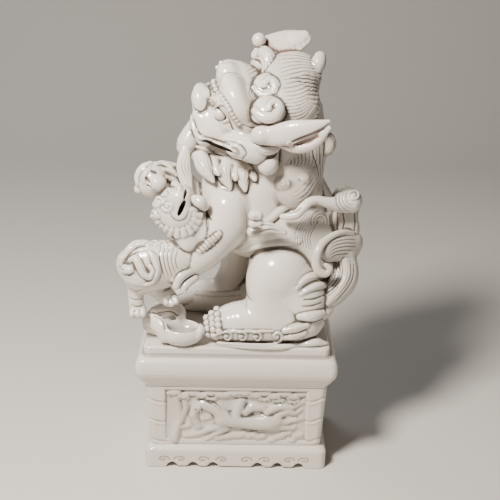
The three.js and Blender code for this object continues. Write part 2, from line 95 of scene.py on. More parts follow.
def in_head(f, l, u):
    """A point given in the head's own axes."""
    return HEAD_ORIGIN + f * HEAD_AXES[0] + l * HEAD_AXES[1] + u * HEAD_AXES[2]


def head_ball(clay, place, radii, k, cut=False):
    """An ellipsoid placed and turned in the head's own axes."""
    clay.ball(in_head(*place), radii, k, HEAD_AXES, cut)


def seen(a, b, y, *radius):
    """The point at depth y that the camera sees at (a, b) on the upright plane y = 0."""
    sight = np.array([a, 0.0, b]) - EYE
    return [*(EYE + sight * (y - EYE[1]) / sight[1]), *radius]


# ---- clay ----
def soft_min(a, b, k):
    """The lower of two fields, rounded where they come within k of each other."""
    h = np.maximum(k - np.abs(a - b), 0.0) / k
    return np.minimum(a, b) - h * h * (0.25 * k)


def smooth_line(stations, spacing):
    """Points along the Catmull-Rom curve through the stations. Every column is carried along."""
    p = np.asarray(stations, float)
    if len(p) == 1:
        return p
    padded = np.vstack([2 * p[0] - p[1], p, 2 * p[-1] - p[-2]])
    out = []
    for i in range(len(p) - 1):
        a, b, c, d = padded[i:i + 4]
        length = np.linalg.norm(c[:3] - b[:3])
        steps = max(1, int(math.ceil(length / spacing)))
        t = (np.arange(steps) / steps)[:, None]
        cubic = 2 * b + (c - a) * t + (2 * a - 5 * b + 4 * c - d) * t**2
        out.append(0.5 * (cubic + (3 * b - a - 3 * c + d) * t**3))
    out.append(p[-1:])
    return np.vstack(out)


def eye_rays(points, eye):
    """Directions from an eye through points."""
    rays = points - eye
    return rays / np.linalg.norm(rays, axis=1)[:, None]


def sketch_rays(marks, view):
    """Points of the sketch plane for a view, and the sight lines through them.

    near and far are seen from the camera's height, and back and front straight on.
    """
    a, b = marks[:, 0], marks[:, 1]
    zero = np.zeros_like(a)
    if view == "near":
        points = np.column_stack([a, zero, b])
        return points, eye_rays(points, EYE)
    if view == "far":
        points = np.column_stack([a, zero, b])
        return points, eye_rays(points, EYE * (1, -1, 1))
    if view == "back":
        return np.column_stack([zero, a, b]), np.tile([-1.0, 0, 0], (len(a), 1))
    return np.column_stack([zero, a, b]), np.tile([1.0, 0, 0], (len(a), 1))


def read_at(grid, spots, kind=np.float32):
    """A grid's values at points given in grid steps, read between the grid points."""
    place = np.clip(spots, 0, np.array(grid.shape) - 1.001)
    i = place.astype(int)
    t = (place - i).astype(kind)
    out = np.zeros(spots.shape[:-1], kind)
    for corner in range(8):
        step = np.array([corner & 1, corner >> 1 & 1, corner >> 2 & 1])
        share = np.prod(np.where(step, t, 1 - t), axis=-1)
        j = i + step
        out += share * grid[j[..., 0], j[..., 1], j[..., 2]]
    return out


class Clay:
    """Signed distances on a grid, in millimetres, negative inside the clay."""

    def __init__(self, low, high):
        self.first = np.floor(np.asarray(low) / VOXEL).astype(int)
        last = np.ceil(np.asarray(high) / VOXEL).astype(int)
        self.last = last + 1
        axes = [np.arange(a, b + 1, dtype=np.float32) * VOXEL for a, b in zip(self.first, last)]
        self.x = axes[0][:, None, None]
        self.y = axes[1][None, :, None]
        self.z = axes[2][None, None, :]
        self.field = np.full([len(a) for a in axes], FAR, np.float32)
        self.fresh = np.full_like(self.field, FAR)

    def part(self, low, high):
        """The slices of the grid between two corners."""
        a = np.floor(np.asarray(low) / VOXEL).astype(int) - self.first
        b = np.ceil(np.asarray(high) / VOXEL).astype(int) - self.first + 1
        a = np.clip(a, 0, self.field.shape)
        b = np.clip(b, 0, self.field.shape)
        return tuple(slice(p, max(p, q)) for p, q in zip(a, b))

    def merge(self, s, d, k, cut=False):
        """Adds a field to the clay with a soft join, or cuts it away."""
        if cut:
            self.field[s] = -soft_min(-self.field[s], d, k)
        else:
            self.field[s] = soft_min(self.field[s], d, k)

    def ball(self, centre, radii, k=2.0, axes=None, cut=False):
        """An ellipsoid. axes, when given, are the directions of its radii."""
        centre = np.asarray(centre, float)
        ra, rb, rc = np.broadcast_to(np.asarray(radii, float), 3)
        reach = max(ra, rb, rc) + REACH
        s = self.part(centre - reach, centre + reach)
        u = self.x[s[0]] - centre[0]
        v = self.y[:, s[1]] - centre[1]
        w = self.z[:, :, s[2]] - centre[2]
        if axes is not None:
            u, v, w = (u * e[0] + v * e[1] + w * e[2] for e in axes)
        k0 = np.sqrt((u / ra)**2 + (v / rb)**2 + (w / rc)**2)
        k1 = np.sqrt((u / ra**2)**2 + (v / rb**2)**2 + (w / rc**2)**2)
        self.merge(s, k0 * (k0 - 1) / np.maximum(k1, 1e-4), k, cut)

    def lay(self, line, flat, broad):
        """Works one rope's distances into the fresh field."""
        for a, b in zip(line[:-1], line[1:]):
            reach = max(a[3], b[3]) + REACH
            s = self.part(np.minimum(a, b)[:3] - reach, np.maximum(a, b)[:3] + reach)
            along = b[:3] - a[:3]
            length2 = max(float(along @ along), 1e-9)
            x = self.x[s[0]] - a[0]
            y = self.y[:, s[1]] - a[1]
            z = self.z[:, :, s[2]] - a[2]
            t = np.clip((x * along[0] + y * along[1] + z * along[2]) / length2, 0, 1)
            x = x - t * along[0]
            y = y - t * along[1]
            z = z - t * along[2]
            r = a[3] + t * (b[3] - a[3])
            if flat == 1:
                d = np.sqrt(x * x + y * y + z * z) - r
            else:
                thin = np.cross(along, broad)
                thin /= max(np.linalg.norm(thin), 1e-6)
                v = x * thin[0] + y * thin[1] + z * thin[2]
                whole = x * x + y * y + z * z
                q = np.sqrt(whole + v * v * (1 / flat**2 - 1))
                slope = np.sqrt(whole + v * v * (1 / flat**4 - 1))
                d = q * (q - r) / np.maximum(slope, 1e-4)
            np.minimum(self.fresh[s], d, out=self.fresh[s])

    def ropes(self, lines, k=1.0, flat=1, broad=(0, 1, 0), cut=False):
        """Round-ended bars along curves, [x, y, z, radius] each, joined to the clay as one."""
        lines = [np.asarray(line, float) for line in lines if line is not None and len(line)]
        if not lines:
            return
        smooth = []
        for line in lines:
            spacing = min(max(0.4 * float(line[:, 3].mean()), 1.0), 4.0)
            smooth.append(smooth_line(line, spacing) if len(line) < DENSE else line)
        for line in smooth:
            line[:, 3] = np.maximum(line[:, 3], THINNEST)
            self.lay(line, flat, np.asarray(broad, float))
        everything = np.vstack(smooth)
        reach = everything[:, 3].max() + REACH
        s = self.part(everything[:, :3].min(0) - reach, everything[:, :3].max(0) + reach)
        self.merge(s, self.fresh[s], k, cut)
        self.fresh[s] = FAR

    def rope(self, stations, k=1.0, flat=1, broad=(0, 1, 0), cut=False):
        """One such bar. flat thins it across the direction broad."""
        self.ropes([stations], k, flat, broad, cut)

    def sweep(self, marks, k=1.0, flat=1, broad=(0, 1, 0)):
        """A bar through points given as the camera sees them, [a, b, depth y, radius]."""
        self.rope([seen(*mark) for mark in marks], k, flat, broad)

    def at(self, spots):
        """The field at these points. Beyond the grid it is empty."""
        out = read_at(self.field, spots / VOXEL - self.first, float)
        outside = np.any((spots / VOXEL < self.first - 1) | (spots / VOXEL > self.last), axis=-1)
        return np.where(outside, FAR, out)

    def drape(self, marks, view="near", lift=0.0):
        """Sketch marks [a, b, radius] laid on the clay's surface, as stations of a rope."""
        line = smooth_line(marks, 1.0) if len(marks) < DENSE else np.asarray(marks, float)
        points, rays = sketch_rays(line, view)
        depth = np.arange(-SKETCH_DEPTH, SKETCH_DEPTH, 0.5 * VOXEL + 0.2)
        spots = points[:, None, :] + rays[:, None, :] * depth[None, :, None]
        value = self.at(spots)
        inside = value < 0
        hit = inside.any(axis=1)
        if hit.sum() < 2:
            return None
        n = np.maximum(inside.argmax(axis=1), 1)
        row = np.arange(len(n))
        before, after = value[row, n - 1], value[row, n]
        share = before / np.maximum(before - after, 1e-6)
        met = depth[n - 1] + share * (depth[1] - depth[0])
        met, line, points, rays = met[hit], line[hit], points[hit], rays[hit]
        if len(met) > 4:
            padded = np.concatenate([met[:1], met, met[-1:]])
            met = (padded[:-2] + 2 * met + padded[2:]) / 4
        place = points + rays * (met - lift * line[:, 2])[:, None]
        return np.column_stack([place, line[:, 2]])

    def draw(self, marks, k=0.5, view="near", lift=0.0, cut=False):
        """A raised line, or a groove, along sketch marks [a, b, radius]."""
        self.ropes([self.drape(marks, view, lift)], k, cut=cut)

    def draws(self, many, k=0.5, view="near", lift=0.0, cut=False):
        """Several such lines, all laid on the surface before any of them changes it."""
        self.ropes([self.drape(marks, view, lift) for marks in many], k, cut=cut)

    def groove(self, marks, k, view, lift):
        """A groove along sketch marks."""
        self.draw(marks, k, view, lift, cut=True)

    def grooves(self, many, k, view, lift):
        """Several grooves, all laid on the surface before any is cut."""
        self.draws(many, k, view, lift, cut=True)

    def model(self, many, k, view, lift):
        """Raised strokes, all laid on the surface first, that then melt into one another."""
        for line in [self.drape(marks, view, lift) for marks in many]:
            self.ropes([line], k)

    def lock(self, path, lines=3, k=0.8, view="near", lift=0.0):
        """A combed lock of hair: a raised band along sketch marks, with fine grooves along it."""
        self.draw(path, k, view, lift)
        many = []
        for share in np.linspace(-0.6, 0.6, lines):
            line = beside(path, share)
            line[:, 2] = FINE
            many.append(line[2:-2])
        self.grooves(many, 0.4, view, 0.2)

    def comb(self, first, last, count, r, k=0.4, view="near", lift=0.2, cut=True):
        """Grooves of hair between two guide curves [a, b] on the sketch, or raised strands."""
        many = []
        for t in np.linspace(0, 1, count):
            guide = (1 - t) * even(first) + t * even(last)
            ends = np.sin(np.pi * np.linspace(0.06, 0.94, len(guide)))**0.5
            many.append(np.column_stack([guide, r * ends]))
        self.draws(many, k, view, lift, cut)


def beside(path, share):
    """A sketch path moved sideways by a share of its own width."""
    fine = smooth_line(np.asarray(path, float), 1.0)
    along = np.gradient(fine[:, :2], axis=0)
    along /= np.maximum(np.linalg.norm(along, axis=1), 1e-6)[:, None]
    moved = fine.copy()
    moved[:, 0] -= share * fine[:, 2] * along[:, 1]
    moved[:, 1] += share * fine[:, 2] * along[:, 0]
    return moved


def even(guide, count=16):
    """A guide curve as evenly spaced points."""
    p = np.column_stack([np.asarray(guide, float), np.zeros(len(guide))])
    fine = smooth_line(p, 0.7)[:, :2]
    run = np.concatenate([[0], np.cumsum(np.linalg.norm(np.diff(fine, axis=0), axis=1))])
    want = np.linspace(0, run[-1], count)
    return np.column_stack([np.interp(want, run, fine[:, 0]), np.interp(want, run, fine[:, 1])])


def spiral(centre, outer, turns, start, way, r):
    """Sketch marks of a spiral that winds in from its outer end. start is in degrees."""
    count = max(14, int(turns * 16))
    t = np.linspace(0, 1, count)
    angle = math.radians(start) + way * 2 * math.pi * turns * t
    radius = outer - outer * t
    a = centre[0] + radius * np.cos(angle)
    b = centre[1] + radius * np.sin(angle)
    return np.column_stack([a, b, np.full(count, r)])


def arc(centre, radii, start, end, r, count=14):
    """Sketch marks of part of an ellipse, from one angle to another in degrees."""
    angle = np.radians(np.linspace(start, end, count))
    a = centre[0] + radii[0] * np.cos(angle)
    b = centre[1] + radii[1] * np.sin(angle)
    return np.column_stack([a, b, np.full(count, r)])


def twins(draw):
    """Runs a piece of drawing on the near and on the far side."""
    for view in ("near", "far"):
        draw(view)


# ---- plinth: half sizes and heights, mm ----
SHORTER = 29.0  # half length less half depth, all the way up
HOLLOW_X, HOLLOW_Y = 65.6, 36.6
RECESS_FLOOR = 68.4  # half length at the floor of the recesses behind the panels
RECESS_WIDE, RECESS_SHORT = 57, 29
RECESS_LOW, RECESS_HIGH = 25, 71
PANEL_FACE = 70.2  # half length at the face of a panel's plate
PANEL_THICK = 1.5
PANEL_WIDE, PANEL_SHORT = 57.5, 29.5
PANEL_LOW, PANEL_HIGH = 24.6, 71.4
APRON_BAND = -22.5  # height of the apron's spirals on the sketch
PAST = 90  # a length that runs right out of the plinth


def plinth_block(clay, profile, edge=5.5):
    """A rounded rectangular block. profile lists (half length, z)."""
    halves, heights = np.array(profile, float).T
    z = clay.z
    half = np.interp(z, heights, halves).astype(np.float32)
    qx = np.abs(clay.x) - (half - edge)
    qy = np.abs(clay.y) - (half - SHORTER - edge)
    outside = np.sqrt(np.maximum(qx, 0)**2 + np.maximum(qy, 0)**2)
    wall = outside + np.minimum(np.maximum(qx, qy), 0) - edge
    lid = np.maximum(heights[0] - z, z - heights[-1])
    clay.field = np.maximum(0.9 * wall, lid).astype(np.float32)


def upright_box(clay, low, high):
    """Distances to an upright box, negative inside it."""
    return np.maximum(
        np.maximum(np.maximum(low[0] - clay.x, clay.x - high[0]),
                   np.maximum(low[1] - clay.y, clay.y - high[1])),
        np.maximum(low[2] - clay.z, clay.z - high[2]))


def cut_box(clay, low, high, k=0.6):
    """Cuts a box out of the whole clay, its edges slightly rounded."""
    clay.field = -soft_min(-clay.field, upright_box(clay, low, high), k)


def plate(clay, low, high):
    """A flat panel, ready to take its relief."""
    clay.field = upright_box(clay, low, high).astype(np.float32)


def hollow(clay, low, high):
    cut_box(clay, (-HOLLOW_X, -HOLLOW_Y, low), (HOLLOW_X, HOLLOW_Y, high))


def scallop(clay, start, end):
    """A notch that runs through the apron's lower edge, peaked in the middle."""
    for z, r, k in ((0, 4.2, 2), (3.4, 1.1, 1.2)):
        clay.rope([[*start, z, r], [*end, z, r]], k, cut=True)


def plinth_foot(clay):
    """The moulded foot, its apron scalloped between flat ends and cut with spirals."""
    plinth_block(clay, [(75, 0), (75, 15), (74.6, 16.2), (73.4, 17.6), (70.8, 19.5)])
    hollow(clay, -9, 40)
    for x in (-35, -18.5, 18.5, 35, -52.5, 52.5):
        scallop(clay, (x, -60), (x, 60))
    for y in (-26, -10, 10, 26):
        scallop(clay, (-PAST, y), (PAST, y))
    cut_box(clay, (-54, -PAST, -9), (54, PAST, 0.9), 1.5)
    cut_box(clay, (-PAST, -27, -9), (PAST, 27, 0.9), 1.5)

    def apron(view):
        for x, way in ((-64, 1), (-49, -1), (-29, 1), (-12, -1), (9, 1), (26, -1), (47, 1), (61, -1)):
            marks = spiral((x, APRON_BAND), 5.2, 1.35, 90 - 90 * way, way, 0.75)
            marks[:, 1] = APRON_BAND + 0.6 * (marks[:, 1] - APRON_BAND)
            clay.groove(marks, 0.5, view, 0.25)
    twins(apron)


def plinth_body(clay):
    """The waist, with a recess for each panel and a drape at each corner."""
    plinth_block(clay, [(70.6, 19.8), (73.8, 74.6)])
    hollow(clay, 0, 90)
    side = RECESS_FLOOR - SHORTER
    low, high = RECESS_LOW, RECESS_HIGH
    cut_box(clay, (-RECESS_WIDE, -PAST, low), (RECESS_WIDE, -side, high), 2.2)
    cut_box(clay, (-RECESS_WIDE, side, low), (RECESS_WIDE, PAST, high), 2.2)
    cut_box(clay, (-PAST, -RECESS_SHORT, low), (-RECESS_FLOOR, RECESS_SHORT, high), 1.0)
    cut_box(clay, (RECESS_FLOOR, -RECESS_SHORT, low), (PAST, RECESS_SHORT, high), 1.0)

    def drapes(view):
        left = [(-81, 43, 0.55), (-74, 38, 0.6), (-66, 35.5, 0.6), (-59, 35.5, 0.4)]
        right = [(59, 38.5, 0.4), (65, 37.5, 0.6), (72, 40, 0.6), (80, 45, 0.55)]
        for drop in (0, 19.5, 39):
            folds = [[(a, b - drop, r) for a, b, r in line] for line in (left, right)]
            below = [[(a, b - 2.6, r) for a, b, r in line] for line in folds]
            clay.grooves(folds, 0.6, view, 0.2)
            clay.draws(below, 0.8, view, -0.1)
    twins(drapes)


def plinth_cap(clay):
    """The overhanging slab with its quarter rounds, and the step that the figure stands on."""
    plinth_block(clay, [
        (73.8, 74.9), (74.4, 76.4), (76.5, 79.5), (79.8, 85.5), (80.8, 89), (81, 93), (80.7, 96),
        (80, 98.5), (78.8, 100.4), (77, 101.8), (75.2, 102.6), (74.3, 103.8), (74.3, 109.3),
        (73.9, 110.1), (73.1, 110.5),
    ])
    hollow(clay, 0, 102.5)


def galloping_scene(clay, view):
    """A horse at full stretch below a pine, with rocks. Marks are on the camera's sketch."""
    pine = [[(-53, 44, 3.4), (-50, 32, 3.2), (-49, 20, 3), (-52, 8, 3.4), (-54, -2, 4)],
            [(-45, 40, 2.6), (-44, 30, 2.4), (-48, 18, 2)]]
    barrel = [[(-12, 20, 7), (2, 19, 6.6), (16, 17.6, 7), (28, 18.6, 7.8), (34, 19, 6.4)],
              [(-10, 22, 6.4), (-18, 30, 5.6), (-28, 34, 4.8), (-35, 30, 4), (-37, 24, 3.4)],
              [(-37, 24, 3.2), (-35.4, 18, 3), (-32.6, 12, 2.4)]]
    legs = [[(-12, 14, 4), (-22, 10, 2.8), (-34, 5, 2.4), (-44, 2.7, 2)],
            [(-9, 11, 3.4), (-18, 5, 2.6), (-25, 0, 2.2), (-31.6, -3.4, 1.8)],
            [(32, 15, 4.6), (42, 12.6, 3), (50, 12, 2.2)],
            [(33, 20, 4), (42, 18, 2.6), (50, 19.6, 1.8)]]
    tail = [[(35, 24, 3.2), (44, 28, 3), (51, 27, 2.2), (56, 30, 1.4)],
            [(27, 28, 3.4), (38, 33, 3.2), (48, 33, 2.6), (57, 37, 1.6)]]
    cloth = [[(0, 25, 5), (2, 31, 4.8), (4, 38, 4.4)], [(8, 28, 4), (14, 32, 4), (22, 31, 2.8)]]
    clay.model(pine + barrel + legs + tail + cloth, 2.2, view, -0.28)
    # bunched needles along the top
    boughs = ((-54, 46, 4), (-46, 43, 4.4), (-38, 45.6, 3.8), (-30, 43.6, 4), (-22, 46, 3.8),
              (-12, 44.6, 4.4), (-2, 46.6, 5), (7, 47, 5), (16, 44.6, 4.4), (24, 46.6, 4), (32, 43.6, 4.4),
              (41, 46, 4), (49, 43.6, 4.2), (56, 46, 3.4), (-22, 40, 2.6), (24, 40.6, 3), (36, 39.4, 2.8),
              (50, 38.6, 2.6))
    clay.model([[(a - 3, b, r), (a + 3, b, r)] for a, b, r in boughs], 1.2, view, -0.45)
    # rocks and foam along the bottom, and ground behind the horse
    rocks = ((-46, -3, 3.4), (-38, -5, 3), (-20, -3, 3), (-14, 1, 3.4), (-5, 3.3, 3.8), (4, 4.4, 3.8),
             (13, 4, 3.6), (21, 2.6, 3.4), (-1, -1.7, 3.4), (10, -2.6, 3.2), (30, -1, 3.2), (38, 3, 3.2),
             (48, -1, 3), (44, 6, 2.6), (54, 4, 3), (-44, 12, 2.6), (-26, 20, 2.4), (54, 20, 2.4))
    clay.model([[(a - 2.4, b, r), (a + 2.4, b + 1.2, r)] for a, b, r in rocks], 1.6, view, -0.55)
    # needles, then the mane and the eye
    clay.grooves([arc((a, b - 2.2), (r * 0.9, 3.0), 200, 340, 0.5, 12) for a, b, r in boughs], 0.4, view,
                 0.2)
    clay.grooves([[(-31, 31, 0.4), (-29, 26, 0.6), (-27, 21, 0.4)],
                  [(-30, 38, 0.4), (-20, 36, 0.6), (-12, 29, 0.4)],
                  [(-26, 36, 0.4), (-19, 32.6, 0.6), (-13, 27, 0.4)],
                  [(-36, 28.6, 0.7), (-34.8, 27.6, 0.8)]], 0.5, view, 0.3)


def relief_front(clay):
    face = PANEL_FACE - SHORTER
    plate(clay, (-PANEL_WIDE, -face, PANEL_LOW), (PANEL_WIDE, PANEL_THICK - face, PANEL_HIGH))
    galloping_scene(clay, "near")


def relief_back(clay):
    face = PANEL_FACE - SHORTER
    plate(clay, (-PANEL_WIDE, face - PANEL_THICK, PANEL_LOW), (PANEL_WIDE, face, PANEL_HIGH))
    galloping_scene(clay, "far")


def cloud_scene(clay, view):
    """Curling clouds for the ends of the plinth."""
    for a, b, size, way in ((-16, 36, 6, 1), (4, 33, 7, -1), (19, 41, 5, 1), (-18, 57, 6, -1), (0, 52, 7, 1),
                            (18, 60, 6, -1), (-4, 64, 4, 1)):
        clay.draw(spiral((a, b), size, 1.5, 200, way, 1.5), 0.7, view, 0.1)
        clay.draw([(a - size, b - size, 1.2), (a, b - size - 2, 1.6), (a + size + 4, b - size, 1)], 0.7,
                  view, 0.1)


def relief_right(clay):
    face = PANEL_FACE
    plate(clay, (face - PANEL_THICK, -PANEL_SHORT, PANEL_LOW), (face, PANEL_SHORT, PANEL_HIGH))
    cloud_scene(clay, "back")


def relief_left(clay):
    face = PANEL_FACE
    plate(clay, (-face, -PANEL_SHORT, PANEL_LOW), (PANEL_THICK - face, PANEL_SHORT, PANEL_HIGH))
    cloud_scene(clay, "front")


# ---- lion ----
def torso(clay):
    clay.ball((10, 0, 206), (32, 29, 34), 8)
    clay.ball((-8, -3, 226), (23, 23, 27), 8)
    clay.ball((38, 0, 196), (34, 28, 36), 8)
    clay.ball((60, 2, 166), (27, 29, 42), 8)
    clay.rope([[12, 0, 220, 26], [26, 0, 244, 25], [34, 0, 262, 24]], 8)

    def flank(view):
        # a long soft fold that sweeps from the elbow up to the neck
        clay.draw([(18, 197, 1.2), (28, 206, 2.4), (38, 216, 2.6), (50, 228, 2), (60, 240, 1.2)], 3, view,
                  -0.5)
        clay.groove([(26, 198, 0.4), (36, 207, 0.8), (48, 217, 0.8), (58, 228, 0.4)], 1.6, view, 0.1)
        # belly folds above the haunch
        clay.draw([(4, 175, 1.0), (18, 180.5, 1.6), (33, 183, 1.6), (49, 184.6, 1)], 2.4, view, -0.4)
        # flank hair
        clay.comb([(46, 182), (46, 193), (51, 203), (56, 211)],
                  [(60, 178), (58, 188), (62, 199), (68, 206)], 7, 0.45, 0.6, view)
        clay.grooves([arc((66, 202), (3 + 2.4 * i, 4 + 2.6 * i), -20, 200, 0.45, 16) for i in range(3)],
                     0.6, view, 0.2)
    twins(flank)
    clay.rope([[60, 0, 240, 5], [70, 0, 222, 5], [80, 0, 196, 5], [86, 1, 168, 5]], 6)


def near_foreleg(clay):
    clay.rope([[-8, -20, 219, 17], [-12, -24, 205, 17], [-22, -29, 190, 14.5], [-34, -33, 179, 11.5],
               [-42, -35, 174, 9]], 4)
    clay.ball((-7, -19, 208), (15, 18, 22), 6)
    # toes closed over the cub's back
    clay.ropes([[[-38, -38, 182, 4.2], [-46, -43, 178, 4.4], [-50, -46, 170, 3.4]],
                [[-36, -40, 175, 4.2], [-44, -46, 171, 4.2], [-47, -48, 164, 3]],
                [[-34, -40, 168, 4], [-40, -46, 164, 3.6], [-42, -47, 159, 2.6]]], 1.2)
    clay.grooves([[(-30, 207, 0.7), (-31, 198, 1.0), (-29, 190, 1.0), (-25, 185, 0.6)],
                  [(-31, 207.5, 0.6), (-26, 206, 0.9), (-22, 202, 0.5)]], 1.2, "near", 0.1)


def far_foreleg(clay):
    clay.rope([[2, 22, 208, 18], [-1, 26, 180, 14], [-4, 28, 150, 12], [-12, 28, 128, 13]], 4)
    clay.rope([[-4, 28, 124, 14], [-30, 28, 124, 14], [-48, 28, 121, 10]], 4)
    for y in (19, 25, 31, 37):
        clay.rope([[-40, y, 126, 4.5], [-52, y, 121, 4.2], [-55, y, 114, 3.4]], 1.0)
    clay.draw([(-35, 138, 0.8), (-18, 137, 1.1), (0, 139, 1.1), (9, 141, 0.8)], 1.4, "near", 0.0)


def hind_leg(clay, side, shift):
    """The haunch, the shank on the ground and the beaded paw. side is -1 for the near leg."""
    view = "near" if side < 0 else "far"

    def at(x, y, z, *radius):
        return [x + shift, side * y, z, *radius]

    def on(marks):
        return [(a + shift, *rest) for a, *rest in marks]
    clay.ball(at(52, 27, 150), (18, 16, 22), 5)
    clay.rope([at(54, 29, 140, 15), at(54, 30, 128, 15), at(32, 31, 127, 16.6), at(4, 31, 127, 17),
               at(-13, 32, 124.4, 13)], 8)
    clay.ball(at(33, 23, 164), (25.5, 21, 25), 6)
    clay.ball(at(21, 26, 152), (13, 17, 19), 8)
    clay.ball(at(30, 34, 140), (18, 10, 14), 8)
    clay.rope([at(-13, 42, 112.5, 2.6), at(10, 45, 112, 2.4), at(36, 45, 112, 2.4), at(50, 40, 112, 2)], 1.5)
    # rows of beads over the toes
    top, pitch, bead = 125.6, 4.9, 2.75
    for column, a in enumerate((-27, -22.2, -17.4)):
        for row in range(6 - column // 2):
            b = top - column - pitch * row
            spot = clay.drape(on([(a + 0.5 * row, b, 2.4), (a + 0.5 * row + 0.4, b, 2.4)]), view)
            if spot is not None:
                clay.ball(spot[0, :3], bead, 0.5)
    # wave scroll along the sole
    clay.draw(on([(-20, 99, 0.9), (-10, 103, 1.1), (4, 103.8, 1.1), (18, 104, 1.1), (30, 104.4, 0.9)]), 0.5,
              view, 0.1)
    for a in (-8.5, 4, 16.5):
        clay.draw(on(spiral((a, 98.8), 4.8, 1.3, 120, -1, 1.1)), 0.4, view, 0.15)
    clay.draw(on(spiral((33.4, 99.6), 5.4, 1.4, 250, 1, 1.3)), 0.4, view, 0.15)
    clay.draw(on([(-24, 94, 0.9), (-14, 92.4, 1.1), (8, 91.6, 1.1), (28, 91.8, 1.1), (40, 94, 0.9)]), 0.5,
              view, 0.15)
    # heel locks and the curls of the hip
    clay.lock(on([(40, 99, 2.4), (48, 100.6, 3.4), (56, 103, 2.4)]), 2, 1.2, view, -0.3)
    clay.lock(on([(40, 105, 2.6), (49, 108, 4.0), (58, 111, 2.8)]), 2, 1.2, view, -0.3)
    clay.lock(on([(52, 118, 3), (62, 119, 4.6), (70, 121, 3.6)]), 3, 0.8, view, -0.1)
    clay.lock(on([(73, 155, 3), (62, 154.4, 3.4), (54, 150.6, 3), (48.6, 143.6, 1.4)]), 2, 1.2, view, -0.25)
    clay.lock(on([(72, 147, 2.8), (64, 145.6, 3), (57, 142, 2.4), (52, 138, 1.2)]), 1, 1.2, view, -0.25)
    clay.grooves([on([(72, 138, 0.5), (64, 134.4, 0.9), (55, 133.4, 0.5)]),
                  on([(70, 131, 0.5), (62, 128, 0.8), (54, 127.4, 0.5)])], 1, view, 0.1)


def near_hind_leg(clay):
    hind_leg(clay, -1, 0)


def far_hind_leg(clay):
    hind_leg(clay, 1, 8)


def elbow_tuft(clay, side):
    """Three knobs melted together behind the elbow, and a blunt flame that points to the tail."""
    view = "near" if side < 0 else "far"

    depth = -41

    def at(a, b, r):
        x, y, z, r = seen(a, b, depth, r)
        return [x, -side * y, z, r]
    clay.ropes([[at(12, 206.4, 4.2), at(15.6, 206, 4.2)],
                [at(12, 199.6, 4), at(16, 199.6, 4)],
                [at(11.4, 192.6, 4.6), at(14.6, 192.2, 4.6)]], 2.6)
    clay.rope([at(15, 193.6, 4), at(22, 196, 4.4), at(29, 195.4, 3.4), at(37, 192.2, 2.2)], 1.6)
    clay.grooves([[(18, 198, 0.5), (23, 199, 0.8), (30, 197.4, 0.5)],
                  [(19, 192.6, 0.5), (26, 194.4, 0.9), (34, 193, 0.5)]], 0.5, view, 0.1)


def near_elbow_tuft(clay):
    elbow_tuft(clay, -1)


def far_elbow_tuft(clay):
    elbow_tuft(clay, 1)


def slit(clay, marks, front, back):
    """Cuts straight in along the line of sight, from depth front to depth back."""
    blades = [[seen(a, b, y, r) for a, b, r in marks] for y in np.arange(front, back, 1.5)]
    clay.ropes(blades, 0.4, cut=True)


# ---- head ----
def mouth_slit(clay):
    slit(clay, [(-31, 266.6, 0.7), (-25.7, 266.8, 1.1), (-17.9, 263.2, 1.3), (-9, 260, 1.1),
                (-4.6, 257.4, 0.6)], -46, -6)


